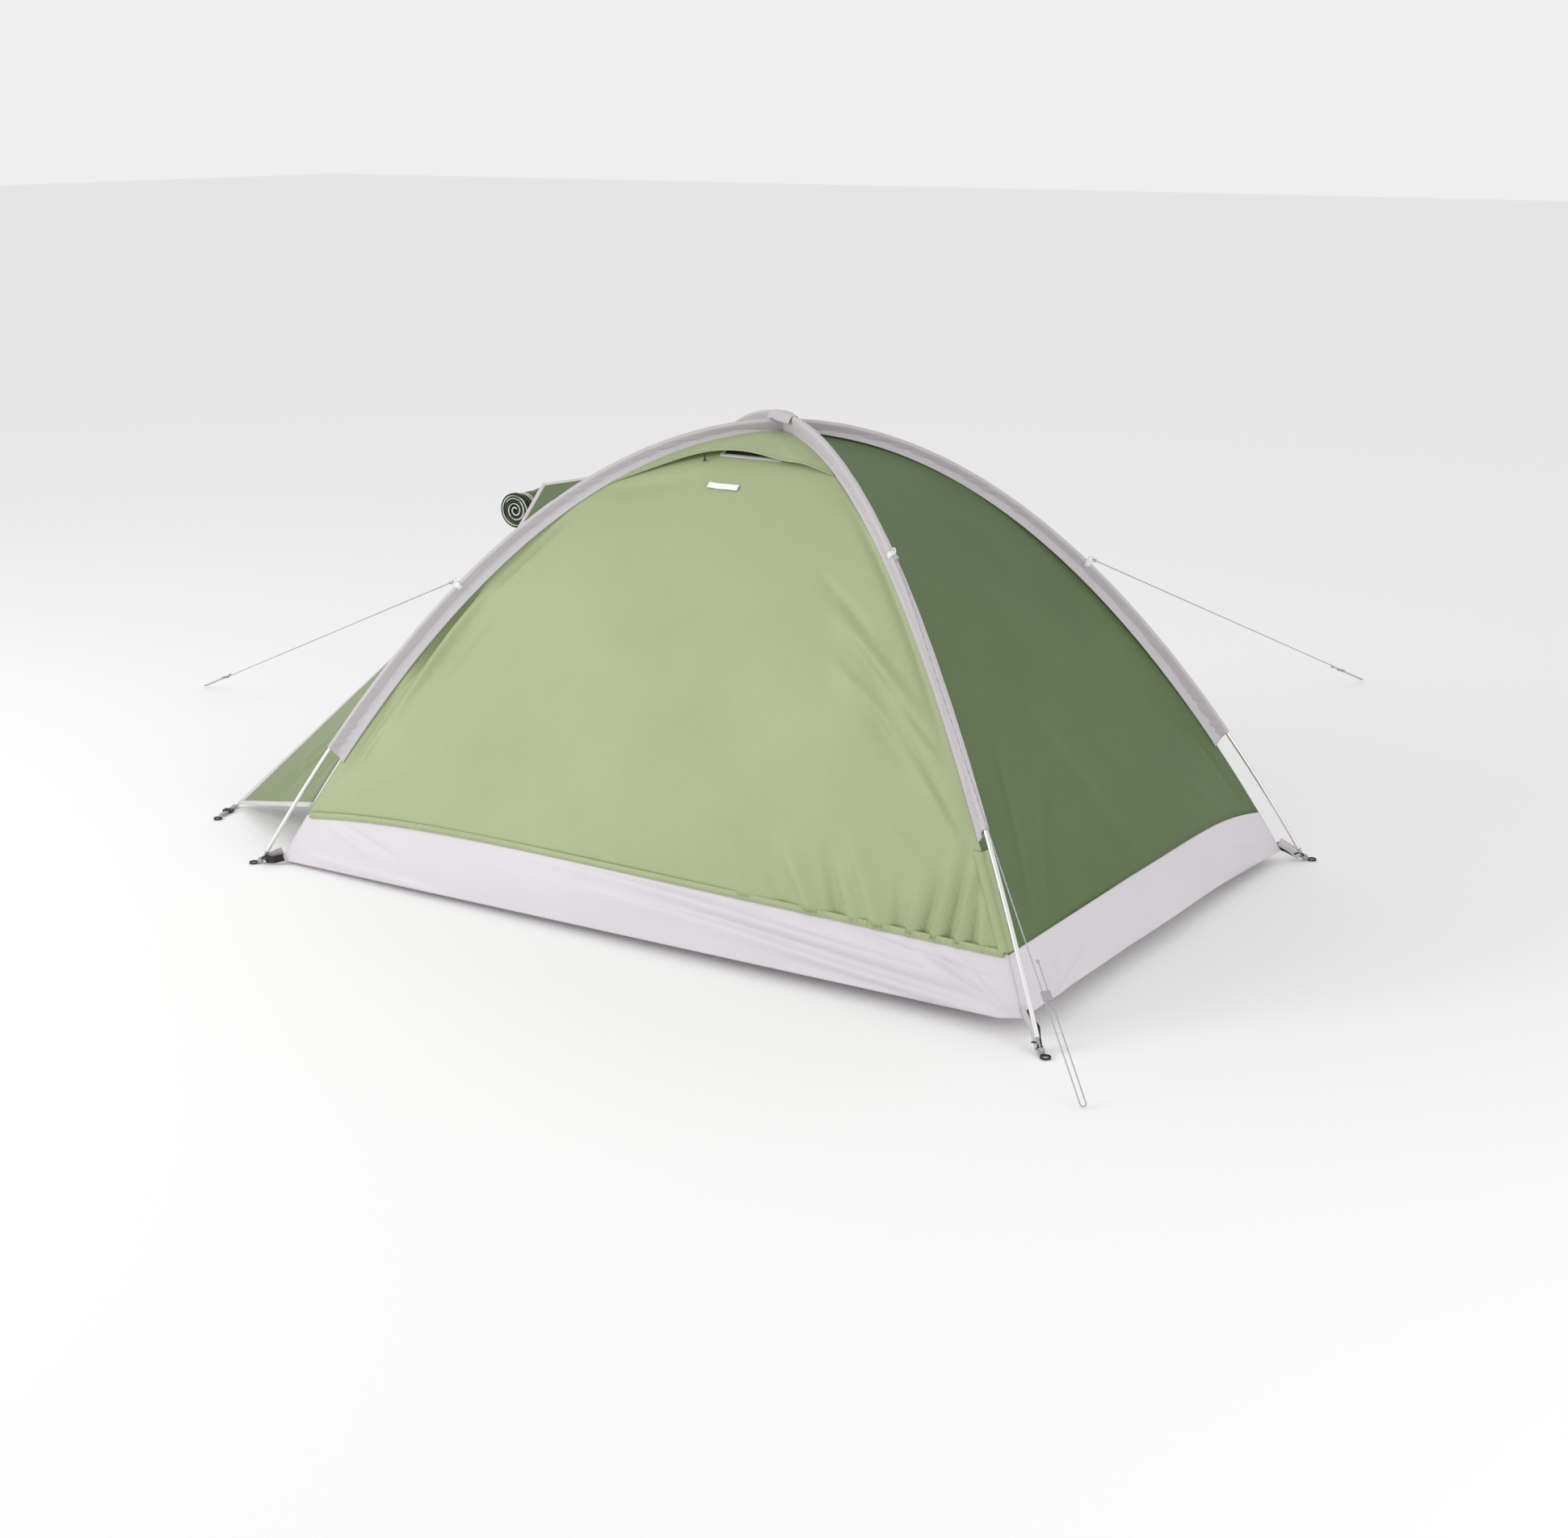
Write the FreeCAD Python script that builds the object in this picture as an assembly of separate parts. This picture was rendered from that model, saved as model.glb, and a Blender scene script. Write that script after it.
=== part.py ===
import FreeCAD, Part
import math
import os

# Two-pole dome tent with a porch over its left-hand doorway.
#
# Millimetres, +Z up.  The origin is on the ground under the point where the
# poles cross.  X runs along the long side and the porch is on the -X side.

Vec = FreeCAD.Vector
UP = Vec(0, 0, 1)

# ---- poles -----------------------------------------------------------------
FOOT_SPACING_X = 2100.0      # between pole feet along the long side
FOOT_SPACING_Y = 1400.0      # between pole feet along the short side
CROWN_HEIGHT = 1060.0        # centre line of the lower pole where the poles cross
POLE_OD = 9.5
POLE_WALL = 1.2
POLE_SECTIONS = 7
POLE_END_HEIGHT = 30.0       # where the last tube stops and its tip begins
FERRULE_HALF_LENGTH = 32.0
FERRULE_WALL = 1.2
SLIDING_GAP = 0.1            # radial gap of a pushed-in ferrule or tip
SHOCK_CORD_D = 2.8
TIP_PLUG_LENGTH = 20.0
TIP_PIN_RADIUS = 3.0
TIP_BALL_RADIUS = 4.5
TIP_FLANGE = 4.0

# ---- sleeves ---------------------------------------------------------------
SLEEVE_EASE = 1.0            # room between a pole and its sleeve
SLEEVE_CLOTH = 1.0
SLEEVE_ENDS = {"front_left": 1078.0, "front_right": 1014.0,    # from the crown, along the
               "back_right": 1054.0, "back_left": 1046.0}      # diagonal, to a sleeve's mouth
FIN_CLOTH = 1.6
CROWN_CLEAR = 12.0           # the upper pole's fins stop this far from the crown
CROWN_PATCH = (110.0, 30.0, 2.0)

# ---- canopy and tub --------------------------------------------------------
CANOPY_HEIGHT = 1035.0       # outside of the canopy under the crown
CANOPY_REACH = 1215.0        # half diagonal of the canopy at the ground
CLOTH = 3.0                  # thickness that stands for each canopy wall
TUB_HEIGHT = 150.0
FLOOR_CLOTH = 2.5
SEAM_GAP = 0.4               # between a wall and a piece that lies on it

# ---- doorway ---------------------------------------------------------------
DOOR_HALF_WIDTH = 320.0
DOOR_SILL = 12.0             # above the top of the tub
DOOR_TOP = 650.0
INNER_ROLL_RADIUS = 25.0
INNER_ROLL_LENGTH = 600.0

# ---- vent on the front wall ------------------------------------------------
HOOD_START = 12.0            # from the crown line to the hood's sewn edge
HOOD_RISE = 6.0              # hood over the wall at the crown
HOOD_DEPTH = 165.0           # from the crown to the free edge, in plan
HOOD_GAP = 22.0              # hood over the wall at its free edge
HOOD_CLOTH = 2.0
HOOD_SIDE_EASE = 5.0
VENT_HALF_WIDTH = 80.0
VENT_NEAR = 60.0
VENT_FAR = 135.0
STRUT_X = -110.0
STRUT_RADIUS = 1.6
STRUT_PIVOT = 8.0            # length of the prop's hinge bar

# ---- label -----------------------------------------------------------------
LABEL = (80.0, 15.0, 0.8)
LABEL_X = -24.0
LABEL_Y = -208.0

# ---- porch -----------------------------------------------------------------
STAKE = Vec(-1438, -405, 5)  # front wing's ground corner; the back one mirrors it
PORCH_TIP = Vec(-734, 0, 758)
BROW_TIP = Vec(-713, 0, 851)
RIDGE_START = Vec(-150, 0, 1024)
WING_TOP_R = 660.0           # where the wing's top and the roof's corner meet the sleeve
WING_LOW_R = 1134.0
ROOF_TOP_R = 180.0
PORCH_CLOTH = 2.0
PORCH_LIFT = 6.0             # of the porch's sewn edge over the canopy
PORCH_SIDE = 3.0             # of the porch's sewn edge from the sleeve's plane
ZIP_RADIUS = 2.0
ZIP_EDGE = 8.0               # wing's edge from the zip's centre
ZIP_END = 10.0
SLIDER = (14.0, 9.0, 7.0)    # along the zip, across it, through it
SLIDER_FROM_TOP = 78.0
ZIP_EASE = 0.4
LUG_HEIGHT = 6.4             # pull's pin over the zip's centre
LUG_RADIUS = 1.2
PULL_EYE = 2.4
PULL = (22.0, 5.0, 1.6)
DOOR_ROLL_CENTRE = Vec(-780, 0, 785)
DOOR_ROLL_RADIUS = 45.0
DOOR_ROLL_ENDS = (-31.0, 270.0)
TIE_WIDTH = 14.0
TIE_CLOTH = 1.6
TIE_PLACES = (2.0, 200.0)

# ---- webbing, rings and loops ----------------------------------------------
RING_WIRE = 1.8
RING_RADIUS = 8.0
RING_HEIGHT = 9.0
CORNER_STRAP = (20.0, 2.0)
CORNER_STRAP_START = 1218.0
PEG_LOOP_HOLE = 8.0
PEG_LOOP_RIM = 3.0
PEG_LOOP_THICK = 3.5
PORCH_STRAP = (15.0, 1.5)
PORCH_STRAP_LENGTH = 95.0
PORCH_STRAP_WAY = Vec(0.366, -0.931, 0)
PORCH_STRAP_HEIGHT = 4.0
BUCKLE = (18.0, 24.0, 7.0)
BUCKLE_PLACE = 45.0

# ---- guy lines -------------------------------------------------------------
GUY_D = 2.5
GUY_STRANDS = 12.0           # between the two strands of the peg end
GUY_TAIL = 300.0
TENSIONER = (20.0, 19.0, 5.0)
TENSIONER_PLACE = 225.0
TENSIONER_EASE = 0.4
CLIP_LENGTH = 12.0
CLIP_WALL = 2.2
CLIP_EASE = 0.4
EYE_RADIUS = 6.0
EYE_WIRE = 1.5
CLIP_PLACES = {"front_left": 756.0, "back_right": 705.0,
               "front_right": 575.0, "back_left": 575.0}
GUY_ENDS = {"left": ("front_left", Vec(-2449, 440, 4)),
            "right": ("back_right", Vec(563, 2496, 4)),
            "near": ("front_right", Vec(1222, -880, 4))}

# ---- sizes that follow from the ones above ---------------------------------
HALF_DIAGONAL = math.hypot(FOOT_SPACING_X, FOOT_SPACING_Y) / 2
ALONG = FOOT_SPACING_X / 2 / HALF_DIAGONAL
ACROSS = FOOT_SPACING_Y / 2 / HALF_DIAGONAL
CANOPY_X = CANOPY_REACH * ALONG
CANOPY_Y = CANOPY_REACH * ACROSS
BORE = POLE_OD / 2 - POLE_WALL
SLEEVE_IN = POLE_OD / 2 + SLEEVE_EASE
SLEEVE_OUT = SLEEVE_IN + SLEEVE_CLOTH
CROWNS = {"a": CROWN_HEIGHT, "b": CROWN_HEIGHT + 2 * SLEEVE_OUT + 1.0}
CORNERS = {"front_left": (-1, -1), "front_right": (1, -1),
           "back_right": (1, 1), "back_left": (-1, 1)}
POLE_OF = {"front_left": "a", "back_right": "a", "front_right": "b", "back_left": "b"}


def save(name, shape):
    """Write one sub-part and say how big it is."""
    shape.exportStep("parts/%s.step" % name)
    print("%-22s %2d solid(s) %9.1f cm3 valid=%s"
          % (name, len(shape.Solids), shape.Volume / 1000, shape.isValid()))


def unit(v):
    return Vec(v).normalize()


# ---- curves in the diagonal planes -----------------------------------------
class Arch:
    """A parabola in the vertical plane through one corner and the crown."""

    def __init__(self, corner, crown, reach):
        sx, sy = CORNERS[corner]
        self.out = Vec(sx * ALONG, sy * ACROSS, 0)
        self.crown = crown
        self.reach = reach

    def height(self, r):
        return self.crown * (1 - (r / self.reach) ** 2)

    def point(self, r, lift=0.0):
        return self.out * r + UP * self.height(r) + self.normal(r) * lift

    def tangent(self, r):
        return unit(self.out - UP * (2 * self.crown * r / self.reach ** 2))

    def normal(self, r):
        slope = 2 * self.crown * r / self.reach ** 2
        return unit(self.out * slope + UP)

    def side(self):
        """Horizontal direction square to the arch's plane."""
        return self.out.cross(UP)

    def length(self, r):
        a = 2 * self.crown / self.reach ** 2
        return (r * math.sqrt(1 + (a * r) ** 2) + math.asinh(a * r) / a) / 2

    def r_at(self, length):
        low, high = -self.reach, self.reach
        for _ in range(60):
            middle = (low + high) / 2
            if self.length(middle) < length:
                low = middle
            else:
                high = middle
        return (low + high) / 2

    def edges(self, stops, lift=0.0):
        """Pairs of tangent arcs through the stops, following the arch."""
        made = []
        for r0, r1 in zip(stops, stops[1:]):
            made += biarc(self.point(r0, lift), self.tangent(r0),
                          self.point(r1, lift), self.tangent(r1))
        return made


def arc_along(start, heading, end):
    """The circular arc that leaves start along heading and reaches end."""
    chord = end - start
    turn = heading.getAngle(chord)
    bulge = unit(heading - chord * (heading.dot(chord) / chord.dot(chord)))
    middle = (start + end) * 0.5 + bulge * (chord.Length / 2 * math.tan(turn / 2))
    return Part.Arc(start, middle, end).toShape()


def biarc(p0, t0, p1, t1):
    """Two tangent arcs from p0 along t0 to p1 along t1."""
    v = p1 - p0
    t = t0 + t1
    k = 2 * (1 - t0.dot(t1))
    d = (-v.dot(t) + math.sqrt(v.dot(t) ** 2 + k * v.dot(v))) / k
    q0 = p0 + t0 * d
    q1 = p1 - t1 * d
    joint = (q0 + q1) * 0.5
    return [arc_along(p0, t0, joint), arc_along(joint, unit(q1 - q0), p1)]


def sweep(edges, radius):
    """A round bar along tangent edges."""
    path = Part.Wire(edges)
    start = edges[0].valueAt(edges[0].FirstParameter)
    heading = edges[0].tangentAt(edges[0].FirstParameter)
    ring = Part.Wire(Part.makeCircle(radius, start, heading))
    return path.makePipeShell([ring], True, False)


def tube(edges, outer, inner):
    return sweep(edges, outer).cut(sweep(edges, inner))


def bar(start, end, radius):
    return Part.makeCylinder(radius, (end - start).Length, start, end - start)


def box_at(centre, ways, size):
    """A box with its middle at centre and its sides along the three ways."""
    x, y, z = ways
    a, b, c = (s / 2 for s in size)
    corners = [centre - x * a - y * b - z * c, centre + x * a - y * b - z * c,
               centre + x * a + y * b - z * c, centre - x * a + y * b - z * c]
    base = Part.Face(Part.makePolygon(corners + corners[:1]))
    return base.extrude(z * size[2])


def mirrored(shape):
    """The same piece on the +Y side."""
    return shape.mirror(Vec(0, 0, 0), Vec(0, 1, 0))


# ---- poles -----------------------------------------------------------------
def pole_arch(pole):
    """The pole's arch, counted from its front foot (negative) to its back foot."""
    corner = {"a": "back_right", "b": "back_left"}[pole]
    return Arch(corner, CROWNS[pole], HALF_DIAGONAL)


def pole_end_r(arch):
    return arch.reach * math.sqrt(1 - POLE_END_HEIGHT / arch.crown)


def pole_stops(arch):
    """Distances from the crown at which the pole's sections meet."""
    half = arch.length(pole_end_r(arch))
    step = 2 * half / POLE_SECTIONS
    return [arch.r_at(-half + step * i) for i in range(POLE_SECTIONS + 1)]


def pole_section(arch, r0, r1):
    return tube(arch.edges([r0, (r0 + r1) / 2, r1]), POLE_OD / 2, BORE)


def ferrule(arch, r):
    """The short inner tube that joins two sections."""
    at = arch.length(r)
    ends = [arch.point(arch.r_at(at + s)) for s in (-FERRULE_HALF_LENGTH, FERRULE_HALF_LENGTH)]
    path = [Part.Arc(ends[0], arch.point(r), ends[1]).toShape()]
    outer = BORE - SLIDING_GAP
    return tube(path, outer, outer - FERRULE_WALL)


def shock_cord(arch):
    """The elastic that runs inside the whole pole, from tip to tip."""
    end = arch.length(pole_end_r(arch)) - TIP_PLUG_LENGTH - 1.0
    count = 2 * POLE_SECTIONS
    stops = [arch.r_at(-end + 2 * end * i / count) for i in range(count + 1)]
    return sweep(arch.edges(stops), SHOCK_CORD_D / 2)


def foot_axis(corner):
    """Where a pole's tube ends, the way down its tip, and the ball's centre."""
    arch = Arch(corner, CROWNS[POLE_OF[corner]], HALF_DIAGONAL)
    r = pole_end_r(arch)
    top = arch.point(r)
    way = arch.tangent(r)
    ball = top + way * ((top.z - TIP_BALL_RADIUS) / -way.z)
    return top, way, ball


def pole_tip(corner):
    top, way, ball = foot_axis(corner)
    plug = bar(top - way * TIP_PLUG_LENGTH, top, BORE - SLIDING_GAP)
    flange = bar(top, top + way * TIP_FLANGE, POLE_OD / 2)
    pin = bar(top, ball, TIP_PIN_RADIUS)
    return plug.fuse([flange, pin, Part.makeSphere(TIP_BALL_RADIUS, ball)]).removeSplitter()


# ---- sleeves ---------------------------------------------------------------
def sleeve(corner):
    """The folded strip that holds the pole, with the fin that is sewn to the canopy."""
    pole = POLE_OF[corner]
    arch = Arch(corner, CROWNS[pole], HALF_DIAGONAL)
    seam = Arch(corner, CANOPY_HEIGHT, CANOPY_REACH)
    end = SLEEVE_ENDS[corner]
    start = 0.3
    stops = [start + (end - start) * i / 5 for i in range(6)]
    pocket = tube(arch.edges(stops), SLEEVE_OUT, SLEEVE_IN)
    fin_start = 1.0 if pole == "a" else CROWN_CLEAR
    stops = [fin_start + (end - fin_start) * i / 5 for i in range(6)]
    top = arch.edges(stops, -(SLEEVE_IN + SLEEVE_OUT) / 2)
    low = seam.edges(stops, SEAM_GAP)
    ends = [(low[0].valueAt(low[0].FirstParameter), top[0].valueAt(top[0].FirstParameter)),
            (low[-1].valueAt(low[-1].LastParameter), top[-1].valueAt(top[-1].LastParameter))]
    outline = Part.Wire(Part.__sortEdges__(top + low + [Part.makeLine(a, b) for a, b in ends]))
    side = arch.side()
    fin = Part.Face(outline).extrude(side * FIN_CLOTH)
    fin.translate(side * (-FIN_CLOTH / 2))
    return pocket.fuse(fin)


# ---- canopy walls and tub --------------------------------------------------
def wall_strip(reach, length, turned):
    """Half of a parabolic vault, from the ground up to the crown line."""
    edges = []
    for r, h in ((reach, CANOPY_HEIGHT), (reach - CLOTH, CANOPY_HEIGHT - CLOTH)):
        bezier = Part.BezierCurve()
        bezier.setPoles([Vec(0, -r, 0), Vec(0, -r / 2, h), Vec(0, 0, h)])
        edges.append(bezier.toShape())
    edges.append(Part.makeLine(Vec(0, -reach, 0), Vec(0, -reach + CLOTH, 0)))
    edges.append(Part.makeLine(Vec(0, 0, CANOPY_HEIGHT), Vec(0, 0, CANOPY_HEIGHT - CLOTH)))
    strip = Part.Face(Part.Wire(Part.__sortEdges__(edges))).extrude(Vec(2 * length, 0, 0))
    strip.translate(Vec(-length, 0, 0))
    strip.rotate(Vec(0, 0, 0), UP, turned)
    return strip


def wedge(side, low, high):
    """The part of the plan that one wall covers, between two heights."""
    x, y = 1.1 * CANOPY_X, 1.1 * CANOPY_Y
    outer = {"front": ((-x, -y), (x, -y)), "back": ((x, y), (-x, y)),
             "left": ((-x, y), (-x, -y)), "right": ((x, -y), (x, y))}[side]
    points = [Vec(0, 0, low)] + [Vec(px, py, low) for px, py in outer]
    return Part.Face(Part.makePolygon(points + points[:1])).extrude(UP * (high - low))


def wall(side, low, high, hole=None):
    """One wall between two heights; a hole is cut before the wall is trimmed."""
    turned = {"front": 0, "right": 90, "back": 180, "left": 270}[side]
    if side in ("front", "back"):
        strip = wall_strip(CANOPY_Y, CANOPY_X, turned)
    else:
        strip = wall_strip(CANOPY_X, CANOPY_Y, turned)
    if hole:
        strip = strip.cut(hole)
    return strip.common(wedge(side, low, high))


def wall_height(y):
    """Outside of the front wall over a line at this y."""
    return CANOPY_HEIGHT * (1 - (y / CANOPY_Y) ** 2)


def doorway():
    """The arch that is cut through the left wall."""
    sill = TUB_HEIGHT + DOOR_SILL
    shoulder = sill + (DOOR_TOP - sill) * 0.45
    w = DOOR_HALF_WIDTH
    sides = [Part.makeLine(Vec(0, -w, shoulder), Vec(0, -w, sill)),
             Part.makeLine(Vec(0, -w, sill), Vec(0, w, sill)),
             Part.makeLine(Vec(0, w, sill), Vec(0, w, shoulder)),
             Part.Arc(Vec(0, w, shoulder), Vec(0, 0, DOOR_TOP), Vec(0, -w, shoulder)).toShape()]
    shape = Part.Face(Part.Wire(sides)).extrude(Vec(CANOPY_X, 0, 0))
    shape.translate(Vec(-1.1 * CANOPY_X, 0, 0))
    return shape


def vent_hole(ease):
    size = Vec(2 * (VENT_HALF_WIDTH - ease), VENT_FAR - VENT_NEAR - 2 * ease, CANOPY_HEIGHT)
    return Part.makeBox(size.x, size.y, size.z, Vec(-size.x / 2, -VENT_FAR + ease, TUB_HEIGHT))


def canopy_wall(side):
    hole = {"left": doorway, "front": lambda: vent_hole(0)}.get(side)
    return wall(side, TUB_HEIGHT, CANOPY_HEIGHT + 1, hole and hole())


def vent_mesh():
    return wall("front", TUB_HEIGHT, CANOPY_HEIGHT + 1).common(vent_hole(SEAM_GAP))


def tub_floor():
    x = CANOPY_X - CLOTH - FLOOR_CLOTH
    y = CANOPY_Y - CLOTH - FLOOR_CLOTH
    return Part.makeBox(2 * x, 2 * y, FLOOR_CLOTH, Vec(-x, -y, 0))


def inner_door_roll():
    """The inner mesh door, unzipped, rolled and laid behind the sill."""
    z = FLOOR_CLOTH + SEAM_GAP + INNER_ROLL_RADIUS
    x = -CANOPY_X * math.sqrt(1 - 2 * z / CANOPY_HEIGHT) + CLOTH + INNER_ROLL_RADIUS + 5
    start = Vec(x, -INNER_ROLL_LENGTH / 2, z)
    return bar(start, start + Vec(0, INNER_ROLL_LENGTH, 0), INNER_ROLL_RADIUS)


# ---- vent hood, strut and label --------------------------------------------
def hood_profile(lift):
    """Parabola of the hood from near the crown line to its free edge, in the YZ plane."""
    top = CANOPY_HEIGHT + HOOD_RISE + lift
    edge = wall_height(HOOD_DEPTH) + HOOD_GAP + lift
    near = HOOD_START
    drop = (top - edge) / HOOD_DEPTH ** 2
    curve = Part.BezierCurve()
    curve.setPoles([Vec(0, -near, top - drop * near ** 2),
                    Vec(0, -(near + HOOD_DEPTH) / 2, top - drop * near * HOOD_DEPTH),
                    Vec(0, -HOOD_DEPTH, edge)])
    return curve.toShape()


def vent_hood():
    low, high = hood_profile(0), hood_profile(HOOD_CLOTH)
    ends = [Part.makeLine(low.Vertexes[i].Point, high.Vertexes[i].Point) for i in (0, 1)]
    strip = Part.Face(Part.Wire(Part.__sortEdges__([low, high] + ends)))
    strip = strip.extrude(Vec(2 * CANOPY_X, 0, 0))
    strip.translate(Vec(-CANOPY_X, 0, 0))
    trim = wedge("front", CANOPY_HEIGHT / 2, CANOPY_HEIGHT * 1.1)
    trim.translate(Vec(0, -HOOD_SIDE_EASE, 0))
    return strip.common(trim)


def strut_foot():
    y = -(HOOD_DEPTH - 6.0)
    return Vec(STRUT_X, y, wall_height(y + STRUT_PIVOT / 2) + STRUT_RADIUS + SEAM_GAP)


def vent_strut():
    """The little prop that holds the hood open; it folds down sideways."""
    foot = strut_foot()
    length = HOOD_GAP - 5 * STRUT_RADIUS
    half = Vec(0, STRUT_PIVOT / 2, 0)
    pivot = bar(foot - half, foot + half, STRUT_RADIUS)
    return pivot.fuse(bar(foot, foot + UP * length, STRUT_RADIUS))


def label_patch():
    slope = math.atan(2 * CANOPY_HEIGHT * -LABEL_Y / CANOPY_Y ** 2)
    along = Vec(0, math.cos(slope), math.sin(slope))
    out = Vec(1, 0, 0).cross(along)
    centre = Vec(LABEL_X, LABEL_Y, wall_height(LABEL_Y)) + out * (LABEL[2] / 2 + SEAM_GAP + 0.2)
    return box_at(centre, (Vec(1, 0, 0), along, out), LABEL)


def crown_cap():
    """The patch that covers the crossing, along the upper pole."""
    out = Arch("back_left", 1.0, 1.0).out
    z = CROWNS["b"] + SLEEVE_OUT + 0.6
    centre = Vec(0, 0, z + CROWN_PATCH[2] / 2)
    return box_at(centre, (out, out.cross(UP), UP), CROWN_PATCH)


# ---- porch -----------------------------------------------------------------
def porch_seam(r0, r1):
    """The porch's sewn edge beside the front left sleeve, as one parabola."""
    arch = Arch("front_left", CANOPY_HEIGHT, CANOPY_REACH)
    aside = arch.side()
    if aside.x > 0:
        aside = aside * -1
    shift = aside * PORCH_SIDE + UP * PORCH_LIFT
    slope = -2 * arch.crown * r0 / arch.reach ** 2
    middle = arch.out * ((r0 + r1) / 2) + UP * (arch.height(r0) + slope * (r1 - r0) / 2)
    curve = Part.BezierCurve()
    curve.setPoles([arch.point(r0) + shift, middle + shift, arch.point(r1) + shift])
    return curve.toShape(), arch.point(r0) + shift, arch.point(r1) + shift


def porch_wing():
    """Front wing, between the zip and the sleeve."""
    seam, top, low = porch_seam(WING_TOP_R, WING_LOW_R)
    zip_top = PORCH_TIP + unit(top - PORCH_TIP) * ZIP_EDGE
    zip_low = STAKE + unit(low - STAKE) * ZIP_EDGE
    face = Part.makeRuledSurface(Part.makeLine(zip_top, zip_low), seam)
    out = unit((zip_low - top).cross(low - zip_top))
    if out.x > 0:
        out = out * -1
    return face.extrude(out * PORCH_CLOTH)


def porch_roof():
    """Two halves from the ridge to the sleeves."""
    seam, _, _ = porch_seam(ROOF_TOP_R, WING_TOP_R)
    ease = Vec(0, -0.5, 0)
    face = Part.makeRuledSurface(Part.makeLine(RIDGE_START + ease, BROW_TIP + ease), seam)
    half = face.extrude(UP * PORCH_CLOTH)
    return Part.Compound([half, mirrored(half)])


def porch_brow():
    """The upright triangles under the front edge of the roof."""
    _, _, corner = porch_seam(ROOF_TOP_R, WING_TOP_R)
    points = [PORCH_TIP + Vec(0, -1.5, 4), BROW_TIP + Vec(0, -1.5, -4)]
    middle = (points[0] + points[1]) * 0.5
    points.append(corner + (middle - corner) * 0.06)
    out = unit((points[1] - points[0]).cross(points[2] - points[0]))
    if out.x > 0:
        out = out * -1
    half = Part.Face(Part.makePolygon(points + points[:1])).extrude(out * 1.2)
    return Part.Compound([half, mirrored(half)])


def zip_way():
    return unit(STAKE - PORCH_TIP)


def porch_zip():
    way = zip_way()
    return bar(PORCH_TIP + way * ZIP_END, STAKE - way * ZIP_END, ZIP_RADIUS)


def zip_frame():
    """Along the zip, towards the wing, and out of the wing, at the slider."""
    way = zip_way()
    _, top, low = porch_seam(WING_TOP_R, WING_LOW_R)
    towards = (top + low) * 0.5 - (PORCH_TIP + STAKE) * 0.5
    towards = unit(towards - way * towards.dot(way))
    out = unit(way.cross(towards))
    if out.x > 0:
        out = out * -1
    return way, towards, out


def slider_centre():
    return PORCH_TIP + zip_way() * SLIDER_FROM_TOP


def zip_slider():
    way, towards, out = zip_frame()
    centre = slider_centre()
    body = box_at(centre, (way, towards, out), SLIDER)
    tunnel = bar(centre - way * SLIDER[0], centre + way * SLIDER[0], ZIP_RADIUS + ZIP_EASE)
    slot = box_at(centre + towards * SLIDER[1] / 2, (way, towards, out),
                  (2 * SLIDER[0], SLIDER[1], 2 * ZIP_RADIUS))
    pin = centre + out * LUG_HEIGHT
    half = SLIDER[1] / 2 - 0.5
    pieces = [bar(pin - towards * half, pin + towards * half, LUG_RADIUS)]
    ear = LUG_HEIGHT - SLIDER[2] / 2 + 1.0
    for s in (-1, 1):
        middle = centre + towards * (s * (half - 0.5)) + out * (LUG_HEIGHT - ear / 2)
        pieces.append(box_at(middle, (way, towards, out), (2 * LUG_RADIUS, 1.0, ear)))
    return body.cut([tunnel, slot]).fuse(pieces)


def pull_pivot():
    return slider_centre() + zip_frame()[2] * LUG_HEIGHT


def zip_pull():
    """The tab that hangs down the zip from the slider's lug."""
    way, towards, out = zip_frame()
    pivot = pull_pivot()
    half = PULL[1] / 2
    eye = bar(pivot - towards * half, pivot + towards * half, PULL_EYE)
    tab = box_at(pivot + way * (PULL[0] / 2 + 1.0), (way, towards, out), PULL)
    hole = bar(pivot - towards * PULL[1], pivot + towards * PULL[1], LUG_RADIUS + 0.08)
    return eye.fuse(tab).cut(hole)


def door_roll():
    low, high = DOOR_ROLL_ENDS
    start = DOOR_ROLL_CENTRE + Vec(0, low, 0)
    return bar(start, start + Vec(0, high - low, 0), DOOR_ROLL_RADIUS)


def roll_tie(y):
    start = DOOR_ROLL_CENTRE + Vec(0, y, 0)
    end = start + Vec(0, TIE_WIDTH, 0)
    inner = DOOR_ROLL_RADIUS + SEAM_GAP
    return bar(start, end, inner + TIE_CLOTH).cut(bar(start, end, inner))


def porch_strap_frame():
    way = unit(PORCH_STRAP_WAY)
    start = Vec(STAKE.x, STAKE.y, PORCH_STRAP_HEIGHT) + way * 6.0
    return start, way, UP.cross(way)


def porch_strap():
    start, way, across = porch_strap_frame()
    middle = start + way * (PORCH_STRAP_LENGTH / 2)
    return box_at(middle, (way, across, UP), (PORCH_STRAP_LENGTH,) + PORCH_STRAP)


def porch_peg_centre():
    start, way, _ = porch_strap_frame()
    return start + way * (PORCH_STRAP_LENGTH + SEAM_GAP + PEG_LOOP_HOLE + PEG_LOOP_RIM)


def porch_buckle():
    """The ladder-shaped slide that tightens the strap."""
    start, way, across = porch_strap_frame()
    centre = start + way * BUCKLE_PLACE
    size = (PORCH_STRAP[0] + 0.8, PORCH_STRAP[1] + 0.8)
    slot = box_at(centre, (way, across, UP), (2 * BUCKLE[0],) + size)
    frame = box_at(centre, (way, across, UP), BUCKLE)
    window = box_at(centre, (way, across, UP), (5.0, PORCH_STRAP[0] + 0.8, 2 * BUCKLE[2]))
    return frame.cut([slot, window])


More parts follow.
